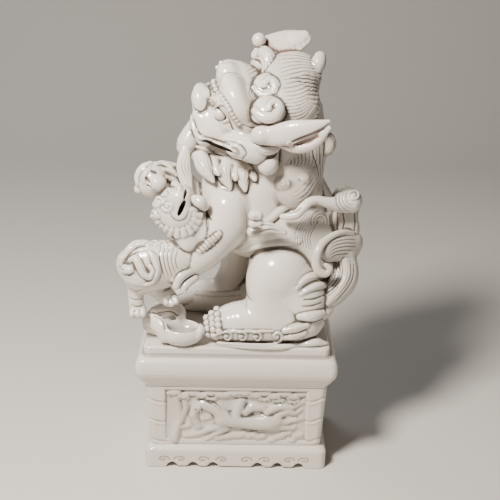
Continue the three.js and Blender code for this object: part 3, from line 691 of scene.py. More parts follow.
def head(clay):
    head_ball(clay, (8, 0, -24), (36, 33, 24), 6)
    head_ball(clay, (32, 0, -30), (22, 25, 14), 8)
    head_ball(clay, (49, 0, -26), (8, 11, 9.5), 3)
    for side in (1, -1):
        head_ball(clay, (26.5, 12.5 * side, -8), (15, 15, 11.5), 6)
        head_ball(clay, (36.6, 19.5 * side, -17), (5.6, 5.6, 5.6), 1.5, cut=True)

    def features(view):
        # the muzzle's smooth upper lip and cheek, the long brow, and the nose
        clay.draw([(-31, 287, 6), (-26, 279, 7), (-17, 273, 7), (-7, 270, 6)], 4, view, -0.45)
        clay.draw([(-9.5, 319, 9), (-6.5, 308, 8.5), (-1, 295, 8), (6, 283, 6)], 3, view, -0.5)
        clay.draw([(-30.5, 306, 5.6), (-31, 301, 6.5), (-30.5, 295.5, 6.2)], 2.4, view, -0.5)
        clay.draw([(-25, 303, 4), (-20, 300, 4), (-15, 299, 3)], 3, view, -0.5)
        clay.grooves([[(-36.5, 295, 0.5), (-34.5, 291, 1.0), (-30, 289.4, 1.2), (-26.5, 291.5, 1.0),
                       (-25, 296, 0.5)],
                      [(-24, 299, 0.5), (-22.6, 304, 0.8), (-24, 310, 0.5)]], 0.7, view, 0.15)
        # eyelids
        clay.draws([[(-20, 292, 1.0), (-16.5, 296, 1.4), (-12, 296.2, 1.5), (-8.4, 292.5, 1.4),
                     (-7, 287.5, 1.0)],
                    [(-20, 290, 1.0), (-18.2, 285, 1.3), (-13.5, 282.3, 1.3), (-8.6, 283.6, 1.0)]], 0.6,
                   view, 0.0)
        # beads along the brow's edge
        beads = even([(-15, 326), (-20, 321.5), (-21.2, 317), (-20.5, 312), (-18.6, 307), (-15.4, 302.5),
                      (-12, 298), (-7, 290), (-4.2, 286), (-0.5, 281.2)], 18)
        spots = clay.drape(np.column_stack([beads, np.full(len(beads), 1.8)]), view)
        for spot in spots:
            clay.ball(spot[:3], 1.85, 0.3)
        clay.grooves([[(-9, 285, 0.5), (-7, 280, 0.8), (-5, 276, 0.9), (0, 273.5, 0.5)],
                      [(2, 280, 0.6), (8, 278, 0.8), (14, 277, 0.6)]], 0.6, view, 0.2)
        # hair that rises from the brow in fine strands
        clay.comb([(0, 330), (4, 332), (8, 335)], [(8, 316), (13, 319), (18, 322)], 6, 0.5, 0.4, view)
        clay.comb([(9, 312), (7, 305), (10, 299)], [(12.5, 311), (10.5, 305), (13, 301)], 3, 0.45, 0.4, view)
        clay.comb([(9, 293), (10, 285), (16, 279)], [(6, 293), (7, 284), (13, 277)], 3, 0.45, 0.4, view)
    twins(features)
    # the smooth cheek behind the corner of the mouth
    clay.ball(seen(3, 262.6, -29), (14, 10, 9.5), 7)
    clay.ball(seen(14, 259, -31), (10, 9, 9.5), 7)
    # double ridge of the upper lip, and the fold that runs round the corner of the mouth
    lip = [(-37.6, 291, 1.2), (-36.6, 281, 1.5), (-34, 273, 1.6), (-29.6, 268.6, 1.6), (-19.2, 265.2, 1.6),
           (-8.8, 262, 1.5), (-3.4, 258.4, 1.2)]
    clay.draw(lip, 0.6, "near", 0.3)
    clay.groove([(a + 1, b + 2.6, 0.7) for a, b, _ in lip[1:-1]], 0.6, "near", 0.1)
    clay.grooves([[(-12, 267, 0.4), (-5, 266.4, 0.8), (1.6, 263.4, 1.0), (5.4, 257, 0.8), (2, 252, 0.4)],
                  [(-8, 262.5, 0.5), (-2, 260.5, 0.8), (0, 256, 0.6)]], 1.0, "near", 0.2)
    mouth_slit(clay)


def lower_jaw(clay):
    head_ball(clay, (20, 0, -52), (32, 26.5, 8), 3)
    clay.rope([[*in_head(44, -8, -54), 7], [-41, 11, 262, 9], [-41, 12, 256, 6]], 3)
    clay.draw([(-34, 262.5, 1.2), (-27, 260, 1.6), (-14, 257, 1.6), (-3, 252.6, 1.4), (3, 250.6, 1)], 0.7,
              "near", 0.1)
    clay.groove([(-30, 257.8, 0.6), (-15, 254.4, 0.9), (-2, 249.8, 0.6)], 0.7, "near", 0.1)
    mouth_slit(clay)


def eye(clay, side):
    head_ball(clay, (36.4, 19.4 * side, -17), (5.2, 4.9, 5.0), 1)


def near_eye(clay):
    eye(clay, 1)


def far_eye(clay):
    eye(clay, -1)


def hairline_curl(clay, l, path, lines):
    """A thick lock that hooks over, standing on a small cushion. l is its place across the head."""
    head_ball(clay, (4, l, 2), (12, 12, 8), 3)
    head_ball(clay, (10, l, -4), (7.5, 9, 6), 4)
    clay.lock(path, lines, 0.6, "near", -0.4)


def hairline_curl_far(clay):
    hairline_curl(clay, -28, [(20, 314, 5.5), (21.6, 324, 5.8), (20.6, 332, 6), (15.6, 336.4, 5.2),
                              (11.2, 333.6, 3.6)], 4)
    clay.groove([(10.5, 330.4, 0.8), (13, 329.8, 1.4), (15, 327, 0.8)], 0.5, "near", 0.2)


def hairline_curl_mid(clay):
    hairline_curl(clay, 0, [(11, 307.5, 3.4), (17.5, 303.4, 4.2), (24.6, 304.8, 4.6), (26.4, 310.4, 4.6),
                            (22.8, 314.6, 3.8), (18.8, 312.6, 2.6)], 4)
    clay.groove([(15, 309.4, 0.5), (18.4, 308.4, 1.1), (20.6, 309.8, 0.7)], 0.5, "near", 0.2)


def hairline_curl_near(clay):
    hairline_curl(clay, 24, [(12, 291, 3.2), (18, 286.6, 4.2), (25.6, 286.6, 4.6), (29.6, 292.4, 4.6),
                             (27, 297.4, 3.8), (23, 296, 2.6), (22.6, 292.8, 1.6)], 4)


def near_ear(clay):
    clay.sweep([(15, 272, -41, 6), (28, 272, -45, 8), (41, 275, -49, 8.6), (55, 278.4, -52, 6),
                (68.6, 283.6, -54, 1.6)], 2, 0.62, (0, 0, 1))
    clay.sweep([(32, 267, -42, 4.4), (45, 265, -46, 6.6), (58, 269, -50, 6), (69, 278.5, -53, 2)], 1.5, 0.6,
               (0, 0, 1))
    clay.ball(seen(17, 272, -42), 6.4, 3)
    # the opening, with the small curl at its foot
    clay.groove([(40, 266.6, 0.8), (47, 269.4, 1.6), (57.2, 273.4, 1.8), (64, 277.6, 1.3), (69, 282, 0.6)],
                0.5, "near", -0.2)
    clay.groove([(46, 265, 1.6), (53, 267.4, 2.2), (60, 271.6, 1.6)], 2.0, "near", 0.2)
    clay.draw(spiral((38.6, 265), 2.8, 1.2, 300, 1, 0.9), 0.5, "near", 0.2)


def far_ear(clay):
    clay.sweep([(16, 341, 13, 6), (26, 342, 16, 9.6), (37, 343.6, 18, 10.8), (46, 346.4, 19, 7)], 2, 0.38,
               (0.1, 0.62, 0.78))
    clay.sweep([(40, 347, 18, 5), (47.6, 350, 19, 2.6)], 3, 0.5, (0.1, 0.62, 0.78))
    clay.ball(seen(13.6, 345, 10), (5.4, 5.4, 5.6), 1.2)


def crown_hair(clay):
    clay.rope([[*in_head(-12, -15, 2), 20.5], [*in_head(-13, 0, -1), 22], [*in_head(-12, 11, -4), 20]], 6,
              0.72, HEAD_AXES[0])
    head_ball(clay, (-20.5, -17, 8), (14.5, 15, 12), 8)
    head_ball(clay, (-21.5, 12, 2), (13, 13, 12), 8)
    # the roll at the top of the comb
    clay.sweep([(60, 333, -2, 4.6), (59, 328.4, -4, 5.6), (58, 323.5, -4, 4.6)], 3)
    # strands combed back from the curls, level at the top and sweeping up from below
    clay.comb([(27, 337), (38, 337), (46, 335.6), (53, 334)], [(31, 321), (40, 324), (49, 325), (59, 324)],
              6, 0.5, 0.5, "near", 0.25)
    clay.comb([(31, 318), (42, 321), (51, 322.6), (60, 321)], [(34, 303), (43, 304), (52, 308), (60, 314)],
              6, 0.5, 0.5, "near", 0.25)
    clay.comb([(35, 300), (45, 301.6), (53, 305.6), (60, 312)],
              [(33, 284), (42, 284), (51, 288), (59, 300)], 7, 0.5, 0.5, "near", 0.25)
    # strands over the back of the crown
    clay.comb([(-34, 334), (-24, 330), (-10, 322)], [(-28, 292), (-20, 290), (-6, 290)], 12, 0.55, 0.5,
              "back")
    clay.comb([(-10, 322), (6, 322), (22, 326)], [(-6, 290), (8, 292), (20, 300)], 10, 0.55, 0.5, "back")


def neck_mane(clay):
    clay.rope([[48, -2, 292, 16], [49, -2, 266, 19], [46, -3, 240, 20], [56, 0, 214, 12]], 6)
    for side in (-1, 1):
        clay.ball((40, side * 17, 240), (18, 11, 22), 9)
    clay.ball((69, -4, 267), (6, 9, 9), 4)

    def locks(view):
        # low round bosses, each with a spiral groove
        for a, b, r in ((35, 233.6, 5.4), (50.7, 238, 4.8)):
            clay.draw([(a, b, r), (a + 0.6, b, r)], 1.6, view, -0.6)
            clay.groove(spiral((a, b), r * 0.75, 1.3, 200, 1, 0.5), 0.4, view, 0.2)
        # hair that falls behind the ear and curves down to the bosses
        clay.comb([(32, 260), (35, 251), (32, 244)], [(64, 262), (63, 250), (58, 246)], 11, 0.45, 0.5, view)
        clay.comb([(42, 224), (49, 229), (57, 240)], [(48, 217), (57, 224), (64, 238)], 4, 0.45, 0.5, view)
    twins(locks)
    clay.comb([(-16, 288), (-20, 262), (-15, 232)], [(14, 288), (18, 262), (13, 232)], 12, 0.5, 0.6, "back")


def cheek_tuft(clay, side):
    view = "near" if side > 0 else "far"
    low = (21.8, -31, 257) if side > 0 else (24, 30, 276)
    head_ball(clay, (-2, 36 * side, -25), (9, 8, 9.5), 3)
    clay.rope([[*in_head(-4, 36 * side, -32), 8.6], [*low, 8]], 3)
    if side > 0:
        clay.ball(seen(13, 261, -33), (9, 7, 9), 4)
        clay.lock([(15, 263, 3), (20, 260.6, 4.4), (27, 262, 4), (30, 266, 2.6)], 3, 0.8, view, -0.4)
    clay.groove([(15, 255, 0.7), (20, 254, 1.2), (27, 255.4, 1.1), (31, 259, 0.6)], 0.8, view, 0.1)


def near_cheek_tuft(clay):
    cheek_tuft(clay, 1)


def far_cheek_tuft(clay):
    cheek_tuft(clay, -1)


def beard(clay, side):
    """Flame locks that hang from the jaw's edge."""
    if side < 0:
        roots = [(38, -11, -62), (26, -19, -57), (13, -23, -54), (2, -24, -51)]
        clay.rope([[*in_head(*p), 5.4] for p in roots], 3)
        for p in roots:
            x, y, z = in_head(*p)
            clay.rope([[x, y, z, 7], [x + 2, y + 2, z - 7, 6.4], [x + 6, y + 3, z - 12, 1.6]], 1.2, 0.6,
                      (1, 0, 0))
        return
    clay.sweep([(-33, 254, -6, 4.6), (-20, 251, -10, 5.4), (-5, 247, -13, 5.6), (9, 243.6, -15, 5)], 3)
    # each flame: where it leaves the jaw, its belly and its tip, on the sketch, and its width
    flames = ((-30, 253, -27, 245, -20.6, 234, 6.4), (-21, 251, -19, 245, -16, 240, 5),
              (-10, 248, -11, 241, -7, 228.6, 6.8), (-3, 247, -3, 241, -3, 236, 5),
              (4, 245, 2.4, 239, 5, 227, 6), (10, 243, 11, 240, 12.6, 236, 3.6))
    for a, b, mid, low, tip, down, wide in flames:
        clay.sweep([(a, b, -12, wide), (mid, low, -19, wide), (tip, down, -26, 1.5)], 1.2)


def near_beard(clay):
    beard(clay, 1)
    clay.comb([(-35, 256), (-31, 247), (-22.5, 236)], [(-23, 255), (-21, 246), (-21, 236)], 5, 0.5, 0.4,
              "near")
    clay.comb([(-16, 251), (-16, 243), (-8.5, 231)], [(-3, 248), (-4, 241), (-6, 231)], 5, 0.5, 0.4, "near")
    clay.comb([(-1, 247), (-1, 240), (4, 229)], [(9, 245), (8, 240), (5.4, 229)], 4, 0.5, 0.4, "near")


def far_beard(clay):
    beard(clay, -1)
    clay.comb([(-38, 256), (-34, 250), (-31, 243)], [(-26, 256), (-26, 250), (-27, 243)], 5, 1.1, lift=0.0,
              cut=False)


# ---- tail ----
def tail_plume(clay):
    clay.ball((83, 3, 190), (14, 14, 42), 4)
    for x, z, r in ((86, 217, 12), (86, 195, 11.5), (84, 173, 10.5), (83, 150, 11)):
        clay.ball((x, 4, z), (r, 12, 13), 3)
    # the flat fold on the near side
    clay.sweep([(88, 208, -10, 8), (88.4, 201, -11, 8), (88.6, 194, -11, 8)], 1.5, 0.5, (1, 0, 0))
    clay.grooves([[(83.4, 209, 0.6), (84.6, 202, 0.8), (83.6, 195, 0.6)],
                  [(92.8, 209, 0.6), (93.6, 202, 0.8), (93.6, 195, 0.6)]], 0.8, "near", 0.2)
    clay.comb([(-9, 226), (-10, 205), (-8, 180), (-6, 150)], [(14, 228), (15, 205), (14, 180), (12, 150)],
              10, 0.8, 0.6, "back")
    clay.comb([(78, 222), (80, 200), (78, 176), (78, 152)], [(94, 222), (96, 200), (94, 176), (92, 152)], 6,
              0.7, 0.5, "far")


def tail_horn(clay):
    clay.sweep([(35, 205.6, -33, 2.2), (40, 205.8, -34, 3.0), (46.5, 207.6, -34, 3.5),
                (51.4, 213.4, -33, 3.7), (56.5, 218.4, -31, 3.5), (62.5, 220, -29, 3.4),
                (70, 218.2, -27, 4.2), (78, 217, -23, 6), (84, 218.6, -19, 8.4), (88.6, 219.6, -17, 9.6)],
               2)
    clay.draw(spiral((91.6, 224.2), 4.6, 1.4, 140, -1, 1.1), 0.5, "near", 0.2)
    clay.grooves([arc((91.6, 223.4), (6.6 + 2.6 * i, 7.6 + 2.9 * i), 150, 262, 0.45, 14) for i in range(4)],
                 0.5, "near", 0.2)
    clay.groove([(40, 208.4, 0.5), (47, 211, 0.8), (52, 217.6, 0.6)], 0.7, "near", 0.1)


def tail_scroll(clay):
    clay.rope([[90, -12, 186, 10], [82, -18, 187, 11.5], [73, -25, 186, 9]], 3, 0.6, (0, 0, 1))
    clay.sweep([(93, 183, -12, 10), (85, 183, -19, 10), (77, 181, -25, 8.6), (72, 176, -29, 6)], 2, 0.5,
               (0.1, 0.1, 1))
    # the rolled rim that comes over the top and ends in a hook
    clay.sweep([(92, 193, -14, 1.6), (84, 193, -20, 2.4), (76, 190, -26, 2.8), (68.6, 184, -31, 3.2),
                (64.6, 176, -35, 3.6), (63.6, 167, -37, 3.8), (66, 159.8, -38, 3.8),
                (71.8, 157.4, -38, 3.4), (75, 161.4, -38, 2.8), (71.6, 164.6, -38, 1.8)], 0.7)
    clay.comb([(97, 190), (86, 190), (76, 186), (69, 177)],
              [(97, 174.4), (87, 174.4), (79, 173), (73, 169)], 6, 0.6, 0.4, "near")
    # long strands that fall from the scroll to the heel
    clay.rope([[86, -14, 178, 8], [86, -19, 162, 10.5], [77, -25, 150, 9.5], [66, -27, 142, 7]], 4)
    for path in ([(79, 167, 2.6), (80, 157, 3.4), (76, 147, 3.4), (68, 138, 2)],
                 [(87, 168, 2.8), (89, 157, 3.6), (84, 144, 3.4), (75, 131, 2)]):
        clay.draw(path, 2.4, "near", -0.5)
    clay.comb([(77, 168), (78, 157), (73, 148), (66, 143)], [(94, 168), (95, 156), (91, 145), (82, 133)], 8,
              0.6, 0.6, "near")


def leg_tuft(clay):
    clay.sweep([(64, 119, -35, 5), (71, 121, -33, 5), (76, 124, -30, 3.4)], 1.5)
    clay.rope([[68, -30, 142, 5], [73, -28, 143, 5]], 3)


def scarf(clay):
    """A folded ribbon: an open bowl-shaped loop in front, and folds that run back under the cub."""
    clay.ball(seen(-46.5, 101.6, -38), (17.4, 12.5, 10.4), 2)
    clay.sweep([(-38, 108.6, -38, 3.4), (-31, 105.4, -41, 3.4), (-33, 99, -44, 3)], 1.5)
    clay.sweep([(-76, 113, -28, 4.4), (-70, 111.6, -34, 6.4), (-64, 105.6, -40, 7.4),
                (-62.4, 97.6, -42, 5)], 2, 0.7, (0, 0, 1))
    clay.sweep([(-74, 115, -26, 4), (-67, 121.6, -24, 5), (-57, 124.6, -24, 5.4), (-49, 121.6, -26, 5.6),
                (-47, 114, -29, 4.6)], 1.4, 0.8, (0, 0, 1))
    clay.sweep([(-73, 108, -26, 6), (-60, 106, -26, 8)], 3)
    clay.ball(seen(-45.6, 109.4, -40), (13, 9, 8.4), 1.2, cut=True)
    clay.grooves([[(-70, 117, 0.6), (-62, 113, 1.0), (-60.4, 104, 0.9)],
                  [(-66, 119, 0.6), (-56, 120.4, 1.0), (-50, 117, 0.8)]], 0.8, "near", 0.1)


def ground_leaf(clay):
    clay.rope([[50, -40, 112.5, 3], [60, -38.5, 114, 6], [70, -38, 112.5, 2.5]], 1, 0.6)
    clay.comb([(50, 99), (60, 104), (70, 102)], [(51, 97), (60, 99), (70, 99)], 4, 0.8, lift=0.0, cut=False)


# ---- cubs ----
def cub_under_paw(clay):
    clay.sweep([(-44, 168, -34, 13), (-55, 165, -35, 17.5), (-68, 162, -36, 20), (-78, 161, -36, 19),
                (-86, 164, -36, 12)], 5, 0.82, (0, 0, 1))
    clay.ball(seen(-91, 163.6, -36), (7.4, 8.5, 8.4), 4)
    clay.sweep([(-79, 153, -36, 13), (-79, 146, -35, 9)], 5)
    # brow lock, snout, S locks and cheek lock
    clay.lock([(-93, 168, 2.2), (-89, 174, 3.6), (-83, 179, 4.2), (-75, 181, 3)], 2, 0.8, "near", -0.3)
    clay.draws([[(-92, 158.4, 4), (-88.6, 157.6, 3.8)],
                [(-95.5, 163, 2.4), (-94, 168, 2.4)]], 1.2, "near", -0.3)
    clay.lock([(-88, 166.6, 2), (-83.6, 167.6, 3), (-80.6, 162, 3.2), (-77.4, 155, 3.2), (-72.4, 152, 2.8),
               (-69.4, 156.4, 2.4), (-71.6, 160.6, 1.8)], 2, 0.6, "near", -0.2)
    clay.lock([(-72, 173, 2), (-68, 167, 3), (-66, 158, 3), (-69, 149, 2.6), (-76, 145, 2)], 2, 0.6, "near",
              -0.35)
    clay.grooves([[(-96, 158.4, 1.1), (-94.6, 157.2, 1.1)],
                  [(-92, 153.6, 0.8), (-89, 153, 0.9), (-86, 154.8, 0.6)],
                  [(-92, 166, 0.6), (-87, 170.6, 0.9), (-80, 174.6, 0.8), (-74, 175.6, 0.6)]], 0.4, "near",
                 0.2)
    # curls of the back and wrinkles of the flank
    for a, b in ((-74, 183), (-67.5, 183.6), (-61, 183), (-55, 181)):
        clay.draw(spiral((a, b - 3), 3.2, 1.1, 180, -1, 1.2), 0.6, "near", -0.2)
    clay.comb([(-63, 179), (-64, 168), (-60, 150)], [(-49, 176), (-51, 166), (-48, 156)], 5, 0.6, 0.5,
              "near")
    # forelegs and a hind paw
    clay.sweep([(-85, 150, -34, 7), (-84.5, 138, -34, 6.4), (-84, 127, -35, 6.2), (-83, 121, -36, 7)], 3)
    clay.ropes([[seen(a, 121, -40, 2.6), seen(a, 118, -42, 2.6)] for a in (-87.6, -83.2, -78.8)], 0.6)
    clay.sweep([(-70, 146, -32, 9), (-63, 139, -32, 8), (-57, 133, -33, 7)], 3)
    clay.ropes([[seen(a, b + 3, -38, 2.6), seen(a + 1, b, -40, 2.6)]
                for a, b in ((-60, 129), (-56, 128), (-52.4, 130))], 0.6)
    clay.grooves([[(-90, 141, 0.5), (-85, 138.6, 0.7), (-79, 140, 0.5)],
                  [(-90, 133, 0.5), (-85, 131, 0.7), (-78.6, 132, 0.5)],
                  [(-89, 126.6, 0.5), (-84, 125, 0.7), (-78.6, 126, 0.5)]], 0.6, "near", 0.1)


def cub_hind_paw(clay):
    """A ribbed paw pressed against the lion's arm."""
    clay.sweep([(-31.6, 174, -41, 2.4), (-24, 181.6, -42, 3), (-16.6, 189, -41, 2.8)], 2)
    for step in range(8):
        t = step / 7
        a, b = -32 + 16.6 * t, 174 + 16.6 * t
        clay.draw([(a - 2.4, b + 3, 0.8), (a + 0.2, b + 0.6, 1.1), (a + 2.4, b - 2.6, 0.8)], 0.5, "near",
                  -0.1)


def cub_at_chin(clay):
    clay.ball(seen(-47, 207, -29), (16, 14, 18.5), 3)
    clay.ball(seen(-47, 221, -30), (11, 12, 10), 4)
    clay.ball(seen(-60, 210, -30), (8.5, 8, 12), 4)
    clay.sweep([(-35, 219, -36, 3.6), (-31, 217, -38, 4.8), (-27.5, 213, -37, 3.4)], 1.4)
    clay.rope([[-46, -20, 214, 13], [-38, -14, 200, 13], [-24, -16, 200, 9]], 3)
    # the chest, which stands between the ruff and the lion's arm
    clay.sweep([(-43, 192, -32, 10), (-41, 183, -33, 10)], 3)
    clay.sweep([(-33, 205, -29, 7), (-29, 194, -32, 7), (-27, 187, -34, 6)], 6)
    # the scalloped ruff, each scallop with a groove of its own
    ruff = even([(-69, 203), (-67, 196), (-60, 191), (-51, 188.6), (-41, 190.4), (-34, 197), (-31.6, 205),
                 (-33, 211)], 12)
    for a, b in ruff:
        towards = np.array([-48 - a, 210 - b]) / math.hypot(-48 - a, 210 - b)
        inner = (a + 4.5 * towards[0], b + 4.5 * towards[1])
        clay.draw([(a, b, 3.2), (*inner, 2.4)], 1.1, "near", -0.45)
    clay.grooves([[(-55, 207, 0.5), (-52.6, 202.6, 0.9), (-48, 200.4, 0.9), (-42.6, 202.6, 0.9),
                   (-40, 209, 0.5)]], 0.6, "near", 0.2)
    # curls down the side of the head
    for a, b, size, start in ((-58.6, 224, 4.6, 0), (-65, 215.6, 4.6, 60), (-68.4, 207, 4, 120),
                              (-56.6, 213, 4.4, 200)):
        clay.draw(spiral((a, b), size, 1.3, start, 1, 1.5), 0.6, "near", -0.2)
    clay.lock([(-58, 230, 2), (-51, 231, 3), (-47, 227, 2.4)], 2, 1, "near", -0.3)
    slit(clay, [(-48, 206, 1.2), (-46, 211, 1.9), (-43.6, 216.4, 1.5)], -52, -30)
    slit(clay, [(-43.8, 219, 0.8), (-42.6, 224, 1.2), (-41.4, 229, 0.8)], -52, -34)


def cub_rider(clay):
    clay.ball(seen(-69, 234, -15), (12, 12, 14), 3)
    clay.ball(seen(-64.6, 232, -25), (7, 6.5, 6.4), 2.4)
    clay.ball(seen(-79.4, 227, -18), (4, 4, 4), 0.8)
    clay.rope([[-66, -10, 242, 10], [-54, -6, 241, 10], [-40, -4, 228, 11], [-26, -4, 214, 10]], 3)
    clay.lock([(-78, 221.6, 2), (-73, 217, 3), (-67, 218.6, 2.4)], 2, 0.8, "near", -0.2)
    # brow bands, hair and ruff
    clay.lock([(-80.4, 231, 1.8), (-80, 238, 2.8), (-76, 244.6, 2.8), (-70, 248.2, 2)], 2, 0.8, "near",
              -0.35)
    clay.draw([(-75.6, 232, 1.2), (-74, 239, 1.6), (-70, 245.4, 1.2)], 0.5, "near", -0.2)
    for curl in ([(-66, 247.6, 1.8), (-60, 248, 2.6), (-54, 245, 2)],
                 [(-60, 243, 1.6), (-54, 242, 2.4), (-49, 239, 2)],
                 [(-58, 237, 1.6), (-53, 236, 2.4), (-49.6, 233, 2)],
                 [(-58, 231, 1.6), (-54, 229, 2.2), (-51, 226, 2)]):
        clay.lock(curl, 2, 0.8, "near", -0.35)
    clay.grooves([[(-68.8, 241.8, 1.3), (-66, 240.6, 1.5)],
                  [(-73.4, 236, 1.2), (-71.2, 232, 1.4)],
                  [(-72.6, 229.9, 1.0), (-70.4, 228.4, 1.2)],
                  [(-62, 226, 0.5), (-58, 229.6, 0.8), (-57, 235, 0.5)]], 0.4, "near", -0.2)


def mouth_leaf(clay):
    clay.rope([[-42, -8, 262, 3.4], [-43, -12, 250, 5.6], [-41, -16, 240, 5], [-38, -20, 232, 2.2]], 1, 0.5,
              (1, 0, 0))
    clay.comb([(-43, 256), (-45.5, 246), (-40, 233)], [(-37.6, 256), (-37, 246), (-36.6, 233)], 4, 0.5, 0.4,
              "near")


# ---- the pieces, each named after its CAD node like its function ----
# sculptor and glaze
PLINTH = [
    (plinth_foot, "plain"),
    (plinth_body, "plain"),
    (plinth_cap, "plain"),
    (relief_front, "washed"),
    (relief_back, "washed"),
    (relief_right, "washed"),
    (relief_left, "washed"),
]
# sculptor, how softly it joins its neighbours in mm, and glaze
FIGURE = [
    (torso, 1.0, "ivory"),
    (near_hind_leg, 2.0, "ivory"),
    (far_hind_leg, 2.0, "ivory"),
    (near_foreleg, 3.0, "ivory"),
    (far_foreleg, 3.0, "ivory"),
    (head, 2.0, "ivory"),
    (lower_jaw, 0.8, "ivory"),
    (near_eye, 0.3, "ivory"),
    (far_eye, 0.3, "ivory"),
    (crown_hair, 1.0, "washed"),
    (neck_mane, 2.5, "washed"),
    (hairline_curl_mid, 0.6, "ivory"),
    (hairline_curl_near, 0.6, "ivory"),
    (hairline_curl_far, 0.6, "ivory"),
    (near_ear, 0.8, "pink"),
    (far_ear, 0.8, "pink"),
    (near_cheek_tuft, 1.0, "ivory"),
    (far_cheek_tuft, 1.0, "ivory"),
    (near_beard, 1.0, "ivory"),
    (far_beard, 1.0, "ivory"),
    (near_elbow_tuft, 0.8, "ivory"),
    (far_elbow_tuft, 0.8, "ivory"),
    (tail_plume, 1.0, "washed"),
    (tail_scroll, 0.8, "washed"),
    (tail_horn, 0.8, "ivory"),
    (leg_tuft, 1.0, "ivory"),
    (cub_under_paw, 0.8, "ivory"),
    (cub_hind_paw, 0.6, "washed"),
    (cub_at_chin, 0.8, "ivory"),
    (cub_rider, 0.6, "ivory"),
    (mouth_leaf, 0.5, "ivory"),
    (scarf, 0.8, "ivory"),
    (ground_leaf, 0.8, "ivory"),
]
# clay past the CAD box, where a piece's locks reach further out than MARGIN
ROOM = {"near_beard": 15.0, "far_ear": 12.0, "crown_hair": 9.0, "head": 16.0}


def modelled(sculpt):
    """The clay of one piece, sculpted in the space round its CAD node's box."""
    node = sculpt.__name__
    low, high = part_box(node)
    low = (np.array(low) - CENTRE) / MM
    high = (np.array(high) - CENTRE) / MM
    room = ROOM.get(node, MARGIN)
    clay = Clay(low - room, high + room)
    sculpt(clay)
    return clay


def box_blur(a, n):
    """The mean over a cube of 2n + 1 grid points."""
    for axis in range(3):
        a = np.moveaxis(a, axis, 0)
        padded = np.concatenate([a[:1]] * (n + 1) + [a] + [a[-1:]] * n)
        run = np.cumsum(padded, axis=0, dtype=np.float64)
        a = ((run[2 * n + 1:] - run[:-(2 * n + 1)]) / (2 * n + 1)).astype(np.float32)
        a = np.moveaxis(a, 0, axis)
    return a


def gathered(surface, spots, size, band, gain, start, most):
    """The painted shade and dirt that gather in hollows of about this size, which sit below the blurred
    surface.
    """
    blurred = box_blur(np.clip(surface, -band, band), round(size / VOXEL))
    return np.clip(-gain * read_at(blurred, spots) - start, 0, most)


def hollow_shade_and_dirt(surface, spots):
    """How much painted shade and dirt lies at each point of the carving: fine grooves, then wide hollows."""
    fine = gathered(surface, spots, 1.2, 2.5, 6, 0.10, 0.75)
    wide = gathered(surface, spots, 3.6, 6, 1.2, 0.12, 0.6)
    return fine + wide


def make_piece(node, glaze, shape, surface, first):
    """One visual piece: the shape's skin, shaded along the surface it shares with its neighbours."""
    grid = openvdb.FloatGrid(background=3.0)
    grid.copyFromArray(np.clip(shape, -3, 3), tolerance=0.0)
    spots, quads = grid.convertToQuads(isovalue=0.0)
    place = (spots + first) * VOXEL
    mesh = bpy.data.meshes.new(node + "_skin")
    mesh.vertices.add(len(spots))
    mesh.vertices.foreach_set("co", (place * MM + CENTRE).astype(np.float32).ravel())
    mesh.loops.add(4 * len(quads))
    mesh.loops.foreach_set("vertex_index", quads.astype(np.int32).ravel())
    mesh.polygons.add(len(quads))
    mesh.polygons.foreach_set("loop_start", np.arange(0, 4 * len(quads), 4, dtype=np.int32))
    mesh.update(calc_edges=True)
    mesh.shade_smooth()
    normals = np.column_stack([read_at(g, spots) for g in np.gradient(surface)])
    normals /= np.maximum(np.linalg.norm(normals, axis=1), 1e-6)[:, None]
    mesh.normals_split_custom_set_from_vertices(normals)
    # painted shade and dirt: darker where the surface sits in a groove or hollow
    shade_and_dirt = mesh.attributes.new("shade_and_dirt", "FLOAT", "POINT")
    shade_and_dirt.data.foreach_set("value", hollow_shade_and_dirt(surface, spots).astype(np.float32))
    mesh.materials.append(GLAZES[glaze])
    piece = bpy.data.objects.new(node + "_skin", mesh)
    bpy.context.scene.collection.objects.link(piece)
    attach(piece, "root")
    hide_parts(node)


def build_plinth():
    for sculpt, glaze in PLINTH:
        clay = modelled(sculpt)
        make_piece(sculpt.__name__, glaze, clay.field, clay.field, clay.first)


def overlap_of(a, b):
    """The slices of two clays that cover the same ground, or None."""
    low = np.maximum(a.first, b.first)
    high = np.minimum(a.last, b.last)
    if np.any(high <= low):
        return None
    in_a = tuple(slice(p, q) for p, q in zip(low - a.first, high - a.first))
    in_b = tuple(slice(p, q) for p, q in zip(low - b.first, high - b.first))
    return in_a, in_b


def build_figure():
    """Sculpts the figure piece by piece, then joins the skins so that they flow into each other."""
    clays = []
    for sculpt, soft, glaze in FIGURE:
        clay = modelled(sculpt)
        floor = PLINTH_TOP - SINK - clay.z
        clay.field = np.maximum(clay.field, floor)
        clay.fresh = None
        clays.append(clay)
    whole = Clay(np.min([c.first for c in clays], axis=0) * VOXEL,
                 (np.max([c.last for c in clays], axis=0) - 1) * VOXEL)
    for (sculpt, soft, glaze), clay in zip(FIGURE, clays):
        here, _ = overlap_of(whole, clay)
        whole.field[here] = soft_min(whole.field[here], clay.field, soft)
    for (sculpt, soft, glaze), clay in zip(FIGURE, clays):
        others = np.full_like(clay.field, FAR)
        for other in clays:
            shared = overlap_of(clay, other) if other is not clay else None
            if shared:
                np.minimum(others[shared[0]], other.field[shared[1]], out=others[shared[0]])
        gap = clay.field - others
        here, _ = overlap_of(whole, clay)
        surface = whole.field[here]
        # where a neighbour lies nearer, the skin sinks below the shared surface and soon ends
        shape = np.maximum(surface + 0.35 * np.clip(gap, 0, 4), 0.5 * gap - OVERLAP)
        make_piece(sculpt.__name__, glaze, shape, surface, clay.first)


# ---- glazes ----
def noise(nodes, links, where, scale, detail):
    """A noise texture that stays with the object."""
    made = nodes.new("ShaderNodeTexNoise")
    made.inputs["Scale"].default_value = scale
    made.inputs["Detail"].default_value = detail
    links.new(where.outputs["Object"], made.inputs["Vector"])
    return made


